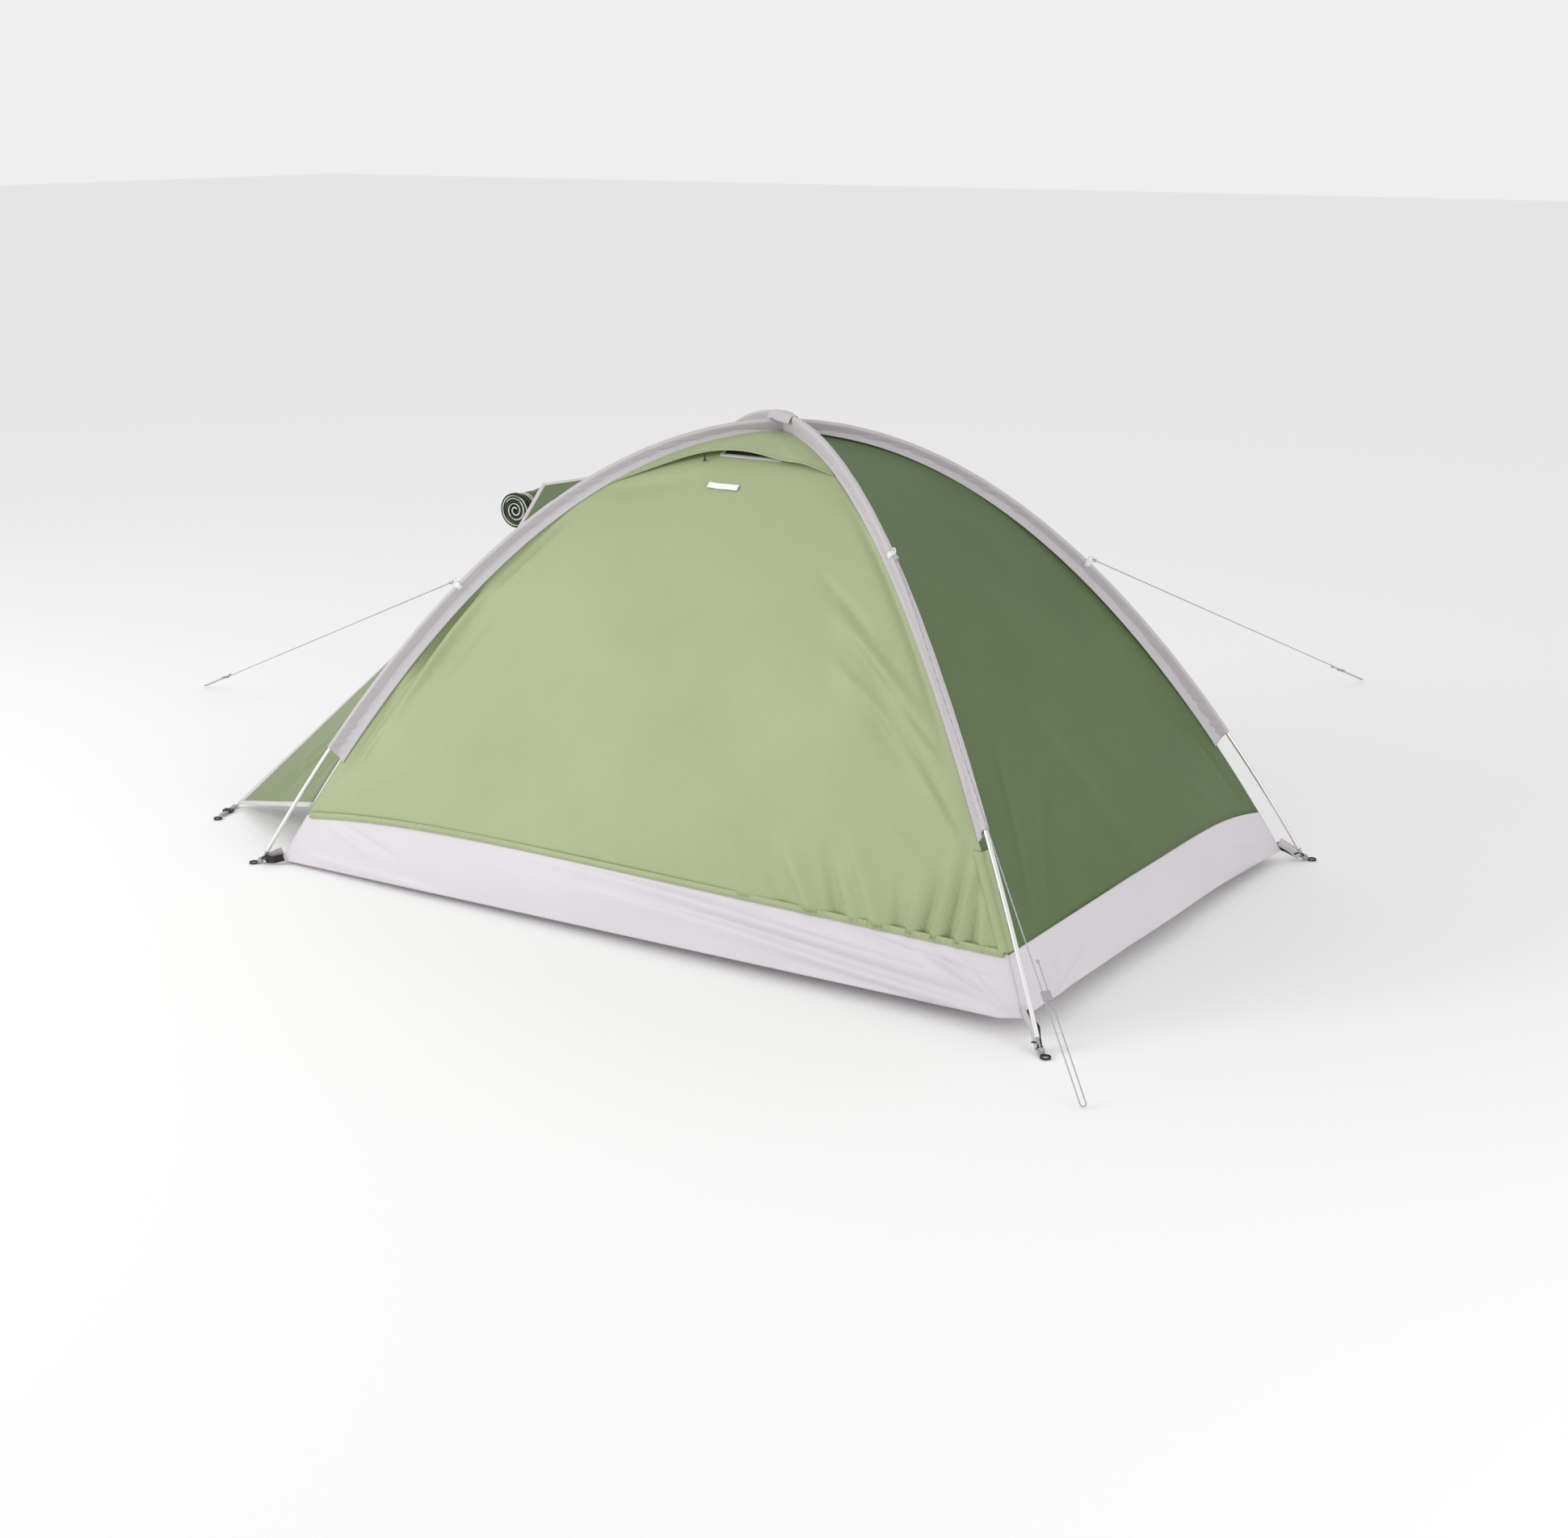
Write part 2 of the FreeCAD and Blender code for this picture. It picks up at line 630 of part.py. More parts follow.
# ---- corners ---------------------------------------------------------------
def peg_loop(centre):
    outer = PEG_LOOP_HOLE + PEG_LOOP_RIM
    base = Vec(centre.x, centre.y, 0)
    ring = Part.makeCylinder(outer, PEG_LOOP_THICK, base)
    return ring.cut(Part.makeCylinder(PEG_LOOP_HOLE, PEG_LOOP_THICK, base))


def ring_centre(corner):
    _, way, ball = foot_axis(corner)
    return ball - way * ((RING_HEIGHT - ball.z) / -way.z)


def corner_ring(corner):
    return Part.makeTorus(RING_RADIUS, RING_WIRE, ring_centre(corner), UP)


def corner_strap(corner):
    out = Arch(corner, 1.0, 1.0).out
    end = ring_centre(corner).dot(out) - RING_RADIUS - RING_WIRE - SEAM_GAP
    length = end - CORNER_STRAP_START
    middle = out * (CORNER_STRAP_START + length / 2) + UP * RING_HEIGHT
    return box_at(middle, (out, out.cross(UP), UP), (length,) + CORNER_STRAP)


def corner_peg_centre(corner):
    out = Arch(corner, 1.0, 1.0).out
    reach = RING_RADIUS + RING_WIRE + PEG_LOOP_HOLE + PEG_LOOP_RIM + SEAM_GAP
    return ring_centre(corner) + out * reach


# ---- guy lines -------------------------------------------------------------
def clip_frame(corner):
    """The pole's centre at a clip, the way along it and the way out of it."""
    arch = Arch(corner, CROWNS[POLE_OF[corner]], HALF_DIAGONAL)
    r = CLIP_PLACES[corner]
    return arch.point(r), arch.tangent(r), arch.normal(r), arch.side()


def eye_centre(corner):
    centre, _, out, _ = clip_frame(corner)
    return centre + out * (SLEEVE_OUT + CLIP_EASE + CLIP_WALL + EYE_RADIUS)


def guy_clip(corner):
    """A collar on the sleeve with an eye for the guy line."""
    centre, way, out, side = clip_frame(corner)
    start, end = centre - way * (CLIP_LENGTH / 2), centre + way * (CLIP_LENGTH / 2)
    inner = SLEEVE_OUT + CLIP_EASE
    collar = bar(start, end, inner + CLIP_WALL).cut(bar(start, end, inner))
    deep = 2 * (inner + CLIP_WALL)
    fin_slot = box_at(centre - out * (deep / 2), (way, side, out), (2 * CLIP_LENGTH, FIN_CLOTH + 1.2, deep))
    eye = Part.makeTorus(EYE_RADIUS, EYE_WIRE, eye_centre(corner), side)
    eye = eye.cut(bar(start - way * 5, end + way * 5, inner))
    return collar.cut(fin_slot).fuse(eye)


def guy_points(name):
    """The line's corners: eye, out to the peg, round it and back up as a tail."""
    corner, end = GUY_ENDS[name]
    eye = eye_centre(corner)
    start = eye + unit(end - eye) * (EYE_RADIUS + EYE_WIRE + 0.3)
    way = unit(end - start)
    aside = unit(way.cross(UP))
    turn = end - aside * GUY_STRANDS
    return [start, end, turn, turn - way * GUY_TAIL], way, aside


def rounded(points):
    """Straight runs joined by arcs, each as large as its two runs allow."""
    edges = []
    last = points[0]
    for before, corner, after in zip(points, points[1:], points[2:]):
        a, b = before - corner, after - corner
        half_turn = (math.pi - a.getAngle(b)) / 2
        reach = 0.45 * min(a.Length, b.Length)
        radius = reach / math.tan(half_turn)
        enter, leave = corner + unit(a) * reach, corner + unit(b) * reach
        edges.append(Part.LineSegment(last, enter).toShape())
        edges.append(arc_along(enter, unit(corner - before), leave))
        print("   turn %.1f deg, radius %.1f mm" % (math.degrees(2 * half_turn), radius))
        last = leave
    edges.append(Part.LineSegment(last, points[-1]).toShape())
    return edges


def guy_line(name):
    points, _, _ = guy_points(name)
    edges = rounded(points)
    line = sweep(edges, GUY_D / 2)
    length = sum(e.Length for e in edges)
    expected = math.pi * GUY_D ** 2 / 4 * length
    print("   guy %s %.0f mm long, volume over expected %.4f" % (name, length, line.Volume / expected))
    return line


def tensioner_frame(name):
    points, way, aside = guy_points(name)
    centre = (points[1] + points[2]) * 0.5 - way * TENSIONER_PLACE
    return centre, way, aside


def tensioner(name):
    """A two-hole slide on both strands."""
    centre, way, aside = tensioner_frame(name)
    body = box_at(centre, (way, aside, way.cross(aside)), TENSIONER)
    hole = GUY_D / 2 + TENSIONER_EASE
    for s in (-1, 1):
        strand = centre + aside * (s * GUY_STRANDS / 2)
        body = body.cut(bar(strand - way * TENSIONER[0], strand + way * TENSIONER[0], hole))
    return body


# ---- everything ------------------------------------------------------------
def main():
    os.makedirs("parts", exist_ok=True)
    ferrules = []
    cords = []
    for pole in "ab":
        arch = pole_arch(pole)
        stops = pole_stops(arch)
        for i, (r0, r1) in enumerate(zip(stops, stops[1:]), 1):
            save("pole_%s_section_%d" % (pole, i), pole_section(arch, r0, r1))
        ferrules += [ferrule(arch, r) for r in stops[1:-1]]
        cords.append(shock_cord(arch))
    save("pole_ferrules", Part.Compound(ferrules))
    save("shock_cords", Part.Compound(cords))
    save("pole_tips", Part.Compound([pole_tip(c) for c in CORNERS]))
    for corner in CORNERS:
        save("sleeve_" + corner, sleeve(corner))
    save("crown_cap", crown_cap())
    for side in ("front", "right", "back", "left"):
        save("canopy_" + side, canopy_wall(side))
        save("tub_wall_" + side, wall(side, 0, TUB_HEIGHT))
    save("tub_floor", tub_floor())
    save("inner_door_roll", inner_door_roll())
    save("vent_mesh", vent_mesh())
    save("vent_hood", vent_hood())
    save("vent_strut", vent_strut())
    save("label_patch", label_patch())
    save("porch_roof", porch_roof())
    save("porch_brow", porch_brow())
    save("porch_door_roll", door_roll())
    save("roll_ties", Part.Compound([roll_tie(y) for y in TIE_PLACES]))
    save("porch_zips", Part.Compound([porch_zip(), mirrored(porch_zip())]))
    save("porch_straps", Part.Compound([porch_strap(), mirrored(porch_strap())]))
    pegs = [peg_loop(corner_peg_centre(c)) for c in CORNERS] + [peg_loop(porch_peg_centre())]
    save("peg_loops", Part.Compound(pegs + [mirrored(pegs[-1])]))
    for name, make in (("porch_wing", porch_wing), ("zip_slider", zip_slider),
                       ("zip_pull", zip_pull), ("porch_buckle", porch_buckle)):
        piece = make()
        save(name + "_front", piece)
        save(name + "_back", mirrored(piece))
    save("corner_straps", Part.Compound([corner_strap(c) for c in CORNERS]))
    save("corner_rings", Part.Compound([corner_ring(c) for c in CORNERS]))
    save("guy_clips", Part.Compound([guy_clip(c) for c in CORNERS]))
    for name in GUY_ENDS:
        save("guy_line_" + name, guy_line(name))
        save("tensioner_" + name, tensioner(name))
        centre, way, _ = tensioner_frame(name)
        print("   tensioner", name, centre, "way", way, "route", guy_points(name)[0])
    print("zip way", zip_way(), "slider", slider_centre(), "pull pivot", pull_pivot(),
          "pull axis", zip_frame()[1])
    print("strut foot", strut_foot(), "strap way", porch_strap_frame()[1])
    print("pegs", [corner_peg_centre(c) for c in CORNERS], porch_peg_centre())


main()
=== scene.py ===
# %% [markdown]
# # A two-pole dome tent
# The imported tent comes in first. Its poles, rings and buckles are already the
# right shape, so they stay and only get a finish. Everything sewn is made here,
# because cloth needs curves, slack and folds that the plain solids don't have.

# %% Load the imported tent
import math
import bpy
import numpy as np
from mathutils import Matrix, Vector


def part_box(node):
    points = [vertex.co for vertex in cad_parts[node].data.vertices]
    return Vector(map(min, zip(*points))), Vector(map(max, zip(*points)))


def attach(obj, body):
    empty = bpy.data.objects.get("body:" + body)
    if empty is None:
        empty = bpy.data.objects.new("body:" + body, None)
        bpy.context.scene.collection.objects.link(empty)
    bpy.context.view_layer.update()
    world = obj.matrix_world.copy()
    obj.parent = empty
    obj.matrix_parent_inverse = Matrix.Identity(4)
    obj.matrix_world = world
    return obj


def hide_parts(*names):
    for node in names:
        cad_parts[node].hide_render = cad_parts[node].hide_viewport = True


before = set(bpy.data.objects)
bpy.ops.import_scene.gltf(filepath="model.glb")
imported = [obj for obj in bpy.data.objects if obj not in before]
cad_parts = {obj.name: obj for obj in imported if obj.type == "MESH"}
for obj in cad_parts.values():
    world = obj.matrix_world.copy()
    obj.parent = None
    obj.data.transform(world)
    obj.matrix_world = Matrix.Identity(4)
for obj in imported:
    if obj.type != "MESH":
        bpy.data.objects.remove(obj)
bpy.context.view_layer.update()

# %% [markdown]
# ## The tent's own curves
# Both poles are bent into parabolas that stand in the two diagonal planes. The
# canopy hangs a little inside them on a lower parabola, so each of its four
# walls is a piece of a parabolic vault. Knowing that, every seam can be placed
# by formula, which is why the cloth here isn't drawn point by point.

# %% Main sizes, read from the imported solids
POLE_REACH = math.hypot(2.10, 1.40) / 2
ALONG, ACROSS = 1.05 / POLE_REACH, 0.70 / POLE_REACH
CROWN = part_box("canopy_back")[1][2]
HALF_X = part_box("tub_wall_right")[1][0]
HALF_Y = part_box("tub_wall_back")[1][1]
TUB_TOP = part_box("tub_wall_back")[1][2]
CANOPY_REACH = math.hypot(HALF_X, HALF_Y)
POLE_D = 0.0095
SLEEVE_OUT = POLE_D / 2 + 0.002
CROWN_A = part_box("pole_a_section_4")[1][2] - POLE_D / 2
CROWN_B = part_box("pole_b_section_4")[1][2] - POLE_D / 2
UP = np.array([0.0, 0.0, 1.0])
CORNERS = {"front_left": (-1, -1), "front_right": (1, -1), "back_right": (1, 1), "back_left": (-1, 1)}
UPPER_POLE = ("front_right", "back_left")
print("canopy", CROWN, HALF_X, HALF_Y, "poles", CROWN_A, CROWN_B)


def unit(v):
    v = np.asarray(v, float)
    return v / np.linalg.norm(v, axis=-1, keepdims=True)


class Arch:
    """A parabola from the crown down to one corner."""

    def __init__(self, corner, crown, reach):
        sx, sy = CORNERS[corner]
        self.out = np.array([sx * ALONG, sy * ACROSS, 0.0])
        self.side = np.cross(self.out, UP)
        self.crown, self.reach = crown, reach

    def slope(self, r):
        return 2 * self.crown * np.asarray(r, float)[..., None] / self.reach ** 2

    def normal(self, r):
        return unit(self.out * self.slope(r) + UP)

    def point(self, r, lift=0.0):
        r = np.asarray(r, float)
        z = self.crown * (1 - (r / self.reach) ** 2)
        return self.out * r[..., None] + UP * z[..., None] + self.normal(r) * np.asarray(lift)[..., None]


def pole_arch(corner):
    return Arch(corner, CROWN_B if corner in UPPER_POLE else CROWN_A, POLE_REACH)


def seam_arch(corner):
    return Arch(corner, CROWN, CANOPY_REACH)


# %% [markdown]
# ## From rows of points to cloth
# A sewn panel is a flat sheet bent one way, so a grid of points is its natural
# mesh. One helper turns a grid into an object, gives it texture coordinates in
# metres, and thickens it a little so that it is a real sheet and not a skin
# with no inside.

# %% Grid, band and tube helpers
def placed(name, data):
    made = bpy.data.objects.new(name, data)
    bpy.context.scene.collection.objects.link(made)
    return made


def mesh_piece(name, verts, faces, uvs, material):
    mesh = bpy.data.meshes.new(name)
    mesh.from_pydata([tuple(map(float, v)) for v in verts], [], faces)
    layer = mesh.uv_layers.new(name="cloth")
    flat = np.asarray(uvs, float)[[i for f in faces for i in f]]
    layer.data.foreach_set("uv", flat.ravel())
    mesh.polygons.foreach_set("use_smooth", [True] * len(mesh.polygons))
    mesh.materials.append(material)
    return placed(name, mesh)


def run_lengths(points, axis):
    steps = np.linalg.norm(np.diff(points, axis=axis), axis=-1)
    lengths = np.cumsum(steps, axis=axis)
    return np.concatenate([np.zeros_like(np.take(lengths, [0], axis)), lengths], axis)


def read_along(values, run, at):
    """Rows of values at the lengths in at, when run gives the length at each row."""
    return np.stack([np.interp(at, run, values[:, k]) for k in range(values.shape[1])], -1)


def grid_piece(name, points, material, uv=None, thickness=0.0009):
    """A sheet from a grid of points, rows by columns by 3."""
    rows, cols = points.shape[:2]
    if uv is None:
        uv = np.stack([run_lengths(points, 0), run_lengths(points, 1)], -1)
    faces = [(i * cols + j, i * cols + j + 1, (i + 1) * cols + j + 1, (i + 1) * cols + j)
             for i in range(rows - 1) for j in range(cols - 1)]
    piece = mesh_piece(name, points.reshape(-1, 3), faces, uv.reshape(-1, 2), material)
    solid = piece.modifiers.new("cloth_thickness", "SOLIDIFY")
    solid.thickness, solid.offset = thickness, 0.0
    return piece


def swept(name, path, side, up, section, material):
    """A closed bar along path; section is a loop of (side, up) offsets in metres."""
    path, side, up = (np.asarray(a, float) for a in (path, side, up))
    section = np.asarray(section, float)
    ring = side[:, None] * section[None, :, :1] + up[:, None] * section[None, :, 1:]
    points = path[:, None] + ring
    n, k = len(path), len(section)
    faces = [(i * k + j, i * k + (j + 1) % k, (i + 1) * k + (j + 1) % k, (i + 1) * k + j)
             for i in range(n - 1) for j in range(k)]
    faces += [tuple(range(k))[::-1], tuple((n - 1) * k + j for j in range(k))]
    around = np.linspace(0, 1, k) * np.linalg.norm(np.diff(section, axis=0), axis=1).sum()
    along = run_lengths(path[:, None], 0)[:, 0]
    uv = np.stack(np.broadcast_arrays(around[None, :], along[:, None]), -1)
    return mesh_piece(name, points.reshape(-1, 3), faces, uv.reshape(-1, 2), material)


def tape_section(width, thick, start=0.0):
    """A flat tape with soft edges, from start to start + width."""
    c = thick * 0.35
    h = thick / 2
    a, b = start, start + width
    return [(a, -h + c), (a + c, -h), (b - c, -h), (b, -h + c),
            (b, h - c), (b - c, h), (a + c, h), (a, h - c)]


def round_section(radius, count=12):
    turn = np.linspace(0, 2 * math.pi, count, endpoint=False)
    return np.stack([np.cos(turn), np.sin(turn)], -1) * radius


def tube_along(name, path, radius, material, count=10):
    """A round bar along any path, kept from twisting."""
    path = np.asarray(path, float)
    heading = unit(np.gradient(path, axis=0))
    side = np.empty_like(path)
    last = unit(np.cross(heading[0], [0.3, 0.5, 0.81]))
    for i, h in enumerate(heading):
        last = unit(last - h * last.dot(h))
        side[i] = last
    return swept(name, path, side, np.cross(heading, side), round_section(radius, count), material)


def on_tent(*pieces, body="tent"):
    for piece in pieces:
        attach(piece, body)


# %% [markdown]
# ## Finishes
# Every finish starts from the real stuff: what it is and how its surface was
# made. A colour is picked as the hex value a designer would quote and turned
# into linear light by one function.

# %% Colour and node helpers
def linear(code):
    parts = [int(code[i:i + 2], 16) / 255 for i in (1, 3, 5)]
    return tuple(p / 12.92 if p <= 0.04045 else ((p + 0.055) / 1.055) ** 2.4 for p in parts) + (1.0,)


def add(tree, kind, settings=None, links=None):
    """Put in one node, set it and wire it; a link is a socket or a plain value."""
    made = tree.nodes.new(kind)
    for key, value in (settings or {}).items():
        setattr(made, key, value)
    for key, value in (links or {}).items():
        socket = made.inputs[key]
        if isinstance(value, bpy.types.NodeSocket):
            tree.links.new(value, socket)
        else:
            socket.default_value = value
    return made


def blank(name, colour, roughness, metallic=0.0):
    material = bpy.data.materials.new(name)
    material.use_nodes = True
    tree = material.node_tree
    shader = tree.nodes["Principled BSDF"]
    shader.inputs["Base Color"].default_value = linear(colour)
    shader.inputs["Roughness"].default_value = roughness
    shader.inputs["Metallic"].default_value = metallic
    material.diffuse_color = linear(colour)
    return material, tree, shader


# %% [markdown]
# ### Coated nylon
# The walls are plain-weave nylon with a coating. The threads are about 0.2 mm
# apart, far too fine to see, so the weave is drawn at 4 mm, where it reads as a
# faint cloth grain. Coated cloth is smoother than cotton, so it has a soft broad
# highlight, and its dye never takes quite evenly.

# %% Woven cloth
WEAVE_DRAWN = 0.004
PER_WAVE = math.tau / 20     # a wave texture's scale is this over the wave's length


def woven(name, colour, worn, roughness=0.55, weave=WEAVE_DRAWN, depth=0.16, sheen=0.12):
    material, tree, shader = blank(name, colour, roughness)
    where = add(tree, "ShaderNodeTexCoord").outputs["UV"]
    place = add(tree, "ShaderNodeTexCoord").outputs["Object"]
    threads = [add(tree, "ShaderNodeTexWave", {"bands_direction": way},
                   {"Vector": where, "Scale": PER_WAVE / weave, "Distortion": 0.6, "Detail": 1.0,
                    "Detail Scale": 3.0}).outputs["Fac"] for way in "XY"]
    cross = add(tree, "ShaderNodeMath", {"operation": "MULTIPLY"}, {0: threads[0], 1: threads[1]})
    clouds = add(tree, "ShaderNodeTexNoise", {}, {"Vector": place, "Scale": 3.2, "Detail": 5.0,
                                                   "Roughness": 0.6})
    patches = add(tree, "ShaderNodeMapRange", {}, {"Value": clouds.outputs["Fac"], "From Min": 0.35,
                                                    "From Max": 0.7, "To Min": 0.0, "To Max": 1.0})
    dye = add(tree, "ShaderNodeMix", {"data_type": "RGBA"}, {"Factor": patches.outputs[0],
                                                              6: linear(colour), 7: linear(worn)})
    grain = add(tree, "ShaderNodeMapRange", {}, {"Value": cross.outputs[0], "To Min": 0.96, "To Max": 1.03})
    tinted = add(tree, "ShaderNodeVectorMath", {"operation": "SCALE"},
                 {0: dye.outputs[2], "Scale": grain.outputs[0]})
    tree.links.new(tinted.outputs[0], shader.inputs["Base Color"])
    puckers = add(tree, "ShaderNodeTexNoise", {}, {"Vector": place, "Scale": 38.0, "Detail": 3.0})
    fine = add(tree, "ShaderNodeBump", {}, {"Strength": depth, "Distance": 0.0006,
                                             "Height": cross.outputs[0]})
    soft = add(tree, "ShaderNodeBump", {}, {"Strength": 0.18, "Distance": 0.003,
                                             "Height": puckers.outputs["Fac"], "Normal": fine.outputs[0]})
    tree.links.new(soft.outputs[0], shader.inputs["Normal"])
    gloss = add(tree, "ShaderNodeMapRange", {}, {"Value": clouds.outputs["Fac"], "To Min": roughness - 0.05,
                                                  "To Max": roughness + 0.08})
    tree.links.new(gloss.outputs[0], shader.inputs["Roughness"])
    shader.inputs["Sheen Weight"].default_value = sheen
    shader.inputs["Sheen Roughness"].default_value = 0.4
    return material


sage_nylon = woven("sage_coated_nylon", "#a0aa80", "#9ca67c")
# The wings are the same sage cloth, given a darker colour as painted shade for the shade they stand in.
shade_darkened_wing_nylon = woven("sage_nylon_painted_darker_for_shade", "#76855a", "#718055")
olive_nylon = woven("olive_coated_nylon", "#52673b", "#4e6338", roughness=0.6, sheen=0.06)
tub_oxford = woven("pale_coated_oxford", "#d0cbcf", "#cdc8cc", roughness=0.5, weave=0.003, depth=0.1)
sleeve_polyester = woven("pale_sleeve_polyester", "#bfbabe", "#bbb6ba", roughness=0.6, depth=0.12)
binding_tape = woven("pale_binding_tape", "#cbc7c6", "#bfbbba", roughness=0.7, weave=0.003, depth=0.35)
mesh_net = woven("dark_insect_net", "#2c322a", "#252a24", roughness=0.8, weave=0.003, depth=0.5)
grey_webbing = woven("grey_woven_webbing", "#a9a5a6", "#9c9899", roughness=0.75, weave=0.003, depth=0.6)
label_cloth = woven("white_label_cloth", "#f2f2f0", "#ececea", roughness=0.5, weave=0.002, depth=0.1)
guy_braid = woven("grey_braided_cord", "#b0adb6", "#a5a2ac", roughness=0.6, weave=0.003, depth=0.6)
black_elastic = woven("black_braided_elastic", "#141414", "#1c1c1c", roughness=0.7, weave=0.003, depth=0.5)


# %% [markdown]
# ### Metal and moulded plastic
# The poles are drawn aluminium tube, anodised clear: bright, with fine lines
# along the tube from the die. Rings and zip sliders are plated steel. Buckles
# and clips are moulded acetal, which is a little waxy.

# %% Metal and plastic
def grained(name, colour, roughness, metallic, scale, duller, glossier, strength, distance):
    """A hard surface whose gloss and height follow one fine noise."""
    material, tree, shader = blank(name, colour, roughness, metallic)
    place = add(tree, "ShaderNodeTexCoord").outputs["Object"]
    grain = add(tree, "ShaderNodeTexNoise", {}, {"Vector": place, "Scale": scale, "Detail": 2.0})
    gloss = add(tree, "ShaderNodeMapRange", {}, {"Value": grain.outputs["Fac"],
                                                  "To Min": roughness - glossier,
                                                  "To Max": roughness + duller})
    tree.links.new(gloss.outputs[0], shader.inputs["Roughness"])
    bump = add(tree, "ShaderNodeBump", {}, {"Strength": strength, "Distance": distance,
                                             "Height": grain.outputs["Fac"]})
    tree.links.new(bump.outputs[0], shader.inputs["Normal"])
    return material


def drawn_metal(name, colour, roughness, streak=0.05):
    return grained(name, colour, roughness, 1.0, 260.0, streak, streak, 0.02, 0.0002)


def moulded(name, colour, roughness):
    return grained(name, colour, roughness, 0.0, 900.0, 0.08, 0.05, 0.15, 0.0003)


anodised_pole = drawn_metal("clear_anodised_aluminium", "#e3e3e4", 0.42, 0.015)
plain_ferrule = drawn_metal("plain_drawn_aluminium", "#c4c4c6", 0.35)
plated_steel = drawn_metal("nickel_plated_steel", "#a9a8a6", 0.25)
black_acetal = moulded("black_acetal", "#161616", 0.42)
pale_acetal = moulded("pale_acetal", "#dddcdc", 0.4)
grey_acetal = moulded("grey_acetal", "#9b999e", 0.45)
zip_nylon = moulded("pale_zip_nylon", "#c6c3c2", 0.5)

# %% [markdown]
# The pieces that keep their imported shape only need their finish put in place.

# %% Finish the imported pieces
FINISH = {"pole_ferrules": plain_ferrule, "shock_cords": black_elastic, "pole_tips": plated_steel,
          "corner_rings": plated_steel, "peg_loops": black_acetal, "porch_zips": zip_nylon,
          "vent_strut": black_acetal, "guy_clips": pale_acetal,
          "porch_buckle_front": black_acetal, "porch_buckle_back": black_acetal,
          "zip_slider_front": plated_steel, "zip_slider_back": plated_steel,
          "zip_pull_front": plated_steel, "zip_pull_back": plated_steel}
FINISH.update({"pole_%s_section_%d" % (p, i): anodised_pole for p in "ab" for i in range(1, 8)})
for node, finish in FINISH.items():
    for mesh_slot in bpy.data.objects[node].material_slots:
        mesh_slot.material = finish

# %% [markdown]
# ## Folds
# Taut cloth isn't smooth. Where a seam is shorter than the cloth sewn to it the
# spare cloth stands up in folds, and where a strap pulls, folds run from it. A
# cloth simulation gives folds too, but not in chosen places, so here each fold
# is a ridge laid on the wall: where it starts, where it ends, how wide and how
# deep. One side of a fold is steeper than the other, as in real cloth.

# %% Folds on a wall
def crease(a, b, start, end, width, depth, rooted=False):
    """Height of one fold; a rooted fold is deepest at its start, as at a hem."""
    (a0, b0), (a1, b1) = start, end
    da, db = a1 - a0, b1 - b0
    long = math.hypot(da, db)
    u = ((a - a0) * da + (b - b0) * db) / long ** 2
    v = ((a - a0) * db - (b - b0) * da) / long
    inside = np.clip(u, 0, 1)
    taper = np.cos(inside * math.pi / 2) ** 1.3 if rooted else np.sin(inside * math.pi) ** 0.9
    past = np.where(u < 0, np.exp(-((u * long) / width) ** 2) if rooted else 0.0, 1.0)
    past = np.where(u > 1, 0.0, past)
    spread = np.where(v > 0, width * 0.65, width * 1.5) * (1 + 0.5 * inside * (1 if rooted else 0))
    return depth * taper * past * np.exp(-(v / spread) ** 2)


def slack(a, b, seed, size=0.0012):
    """The slow, slight unevenness of any stretched sheet."""
    draw = np.random.default_rng(seed)
    total = 0
    for _ in range(5):
        ka, kb = draw.uniform(-9, 9, 2)
        total = total + np.sin(a * ka + b * kb + draw.uniform(0, 6.3)) * size / 2
    return total


# %% [markdown]
# ## Canopy walls and tub
# Each wall is the vault's surface, from the crown down to the tub seam. It is
# cut along two curved edges and laid between two poles. The tub is the same
# surface carried down to the ground in heavier pale cloth.

# %% One wall's surface
SIDES = {"front": ((0, -1, 0), (1, 0, 0), HALF_Y, HALF_X), "back": ((0, 1, 0), (-1, 0, 0), HALF_Y, HALF_X),
         "right": ((1, 0, 0), (0, 1, 0), HALF_X, HALF_Y), "left": ((-1, 0, 0), (0, -1, 0), HALF_X, HALF_Y)}
SEAM_DROPS = {"front": (0.034, 0.0), "right": (0.0, 0.034), "back": (0.034, 0.034), "left": (0.034, 0.034)}


def profile_length(t, half):
    """Distance down the wall from the crown line."""
    k = 2 * CROWN / half ** 2
    y = half * np.asarray(t, float)
    return (y * np.sqrt(1 + (k * y) ** 2) + np.arcsinh(k * y) / k) / 2


def height_t(z):
    return np.sqrt(1 - np.asarray(z, float) / CROWN)


def seam_height(side, s):
    """The tub seam dips towards the corners that stand on level pegs."""
    low, high = SEAM_DROPS[side]
    return TUB_TOP + 0.005 - low * np.clip(-s, 0, 1) ** 4 - high * np.clip(s, 0, 1) ** 4


def floor_lift(x, y):
    """How far the floor's edge is pulled off the ground, most at the near corner."""
    along_front = 0.007 + 0.024 * np.clip((x + 0.97) / 1.6, 0, 1.2)
    along_right = 0.046 - 0.008 * np.clip((y + 0.5) / 0.8, 0, 1) - 0.014 * np.clip((y - 0.3) / 0.35, 0, 1)
    near_front = np.clip(1 - (y + HALF_Y) / 0.40, 0, 1) ** 1.6
    near_right = np.clip(1 - (HALF_X - x) / 0.40, 0, 1) ** 1.6
    return np.maximum(along_front * near_front, along_right * near_right) + 0.0008


def bottom_height(side, s):
    """Height of the tub's lower edge along one side."""
    out, across, half, half_across = SIDES[side]
    x = out[0] * half + across[0] * half_across * s
    y = out[1] * half + across[1] * half_across * s
    return floor_lift(x, y)


def wall_normal(side, t):
    """Straight out from a wall, t of the way from the crown to the ground in plan."""
    out, half = np.array(SIDES[side][0], float), SIDES[side][2]
    return unit(out * (2 * CROWN * t / half)[..., None] + UP)


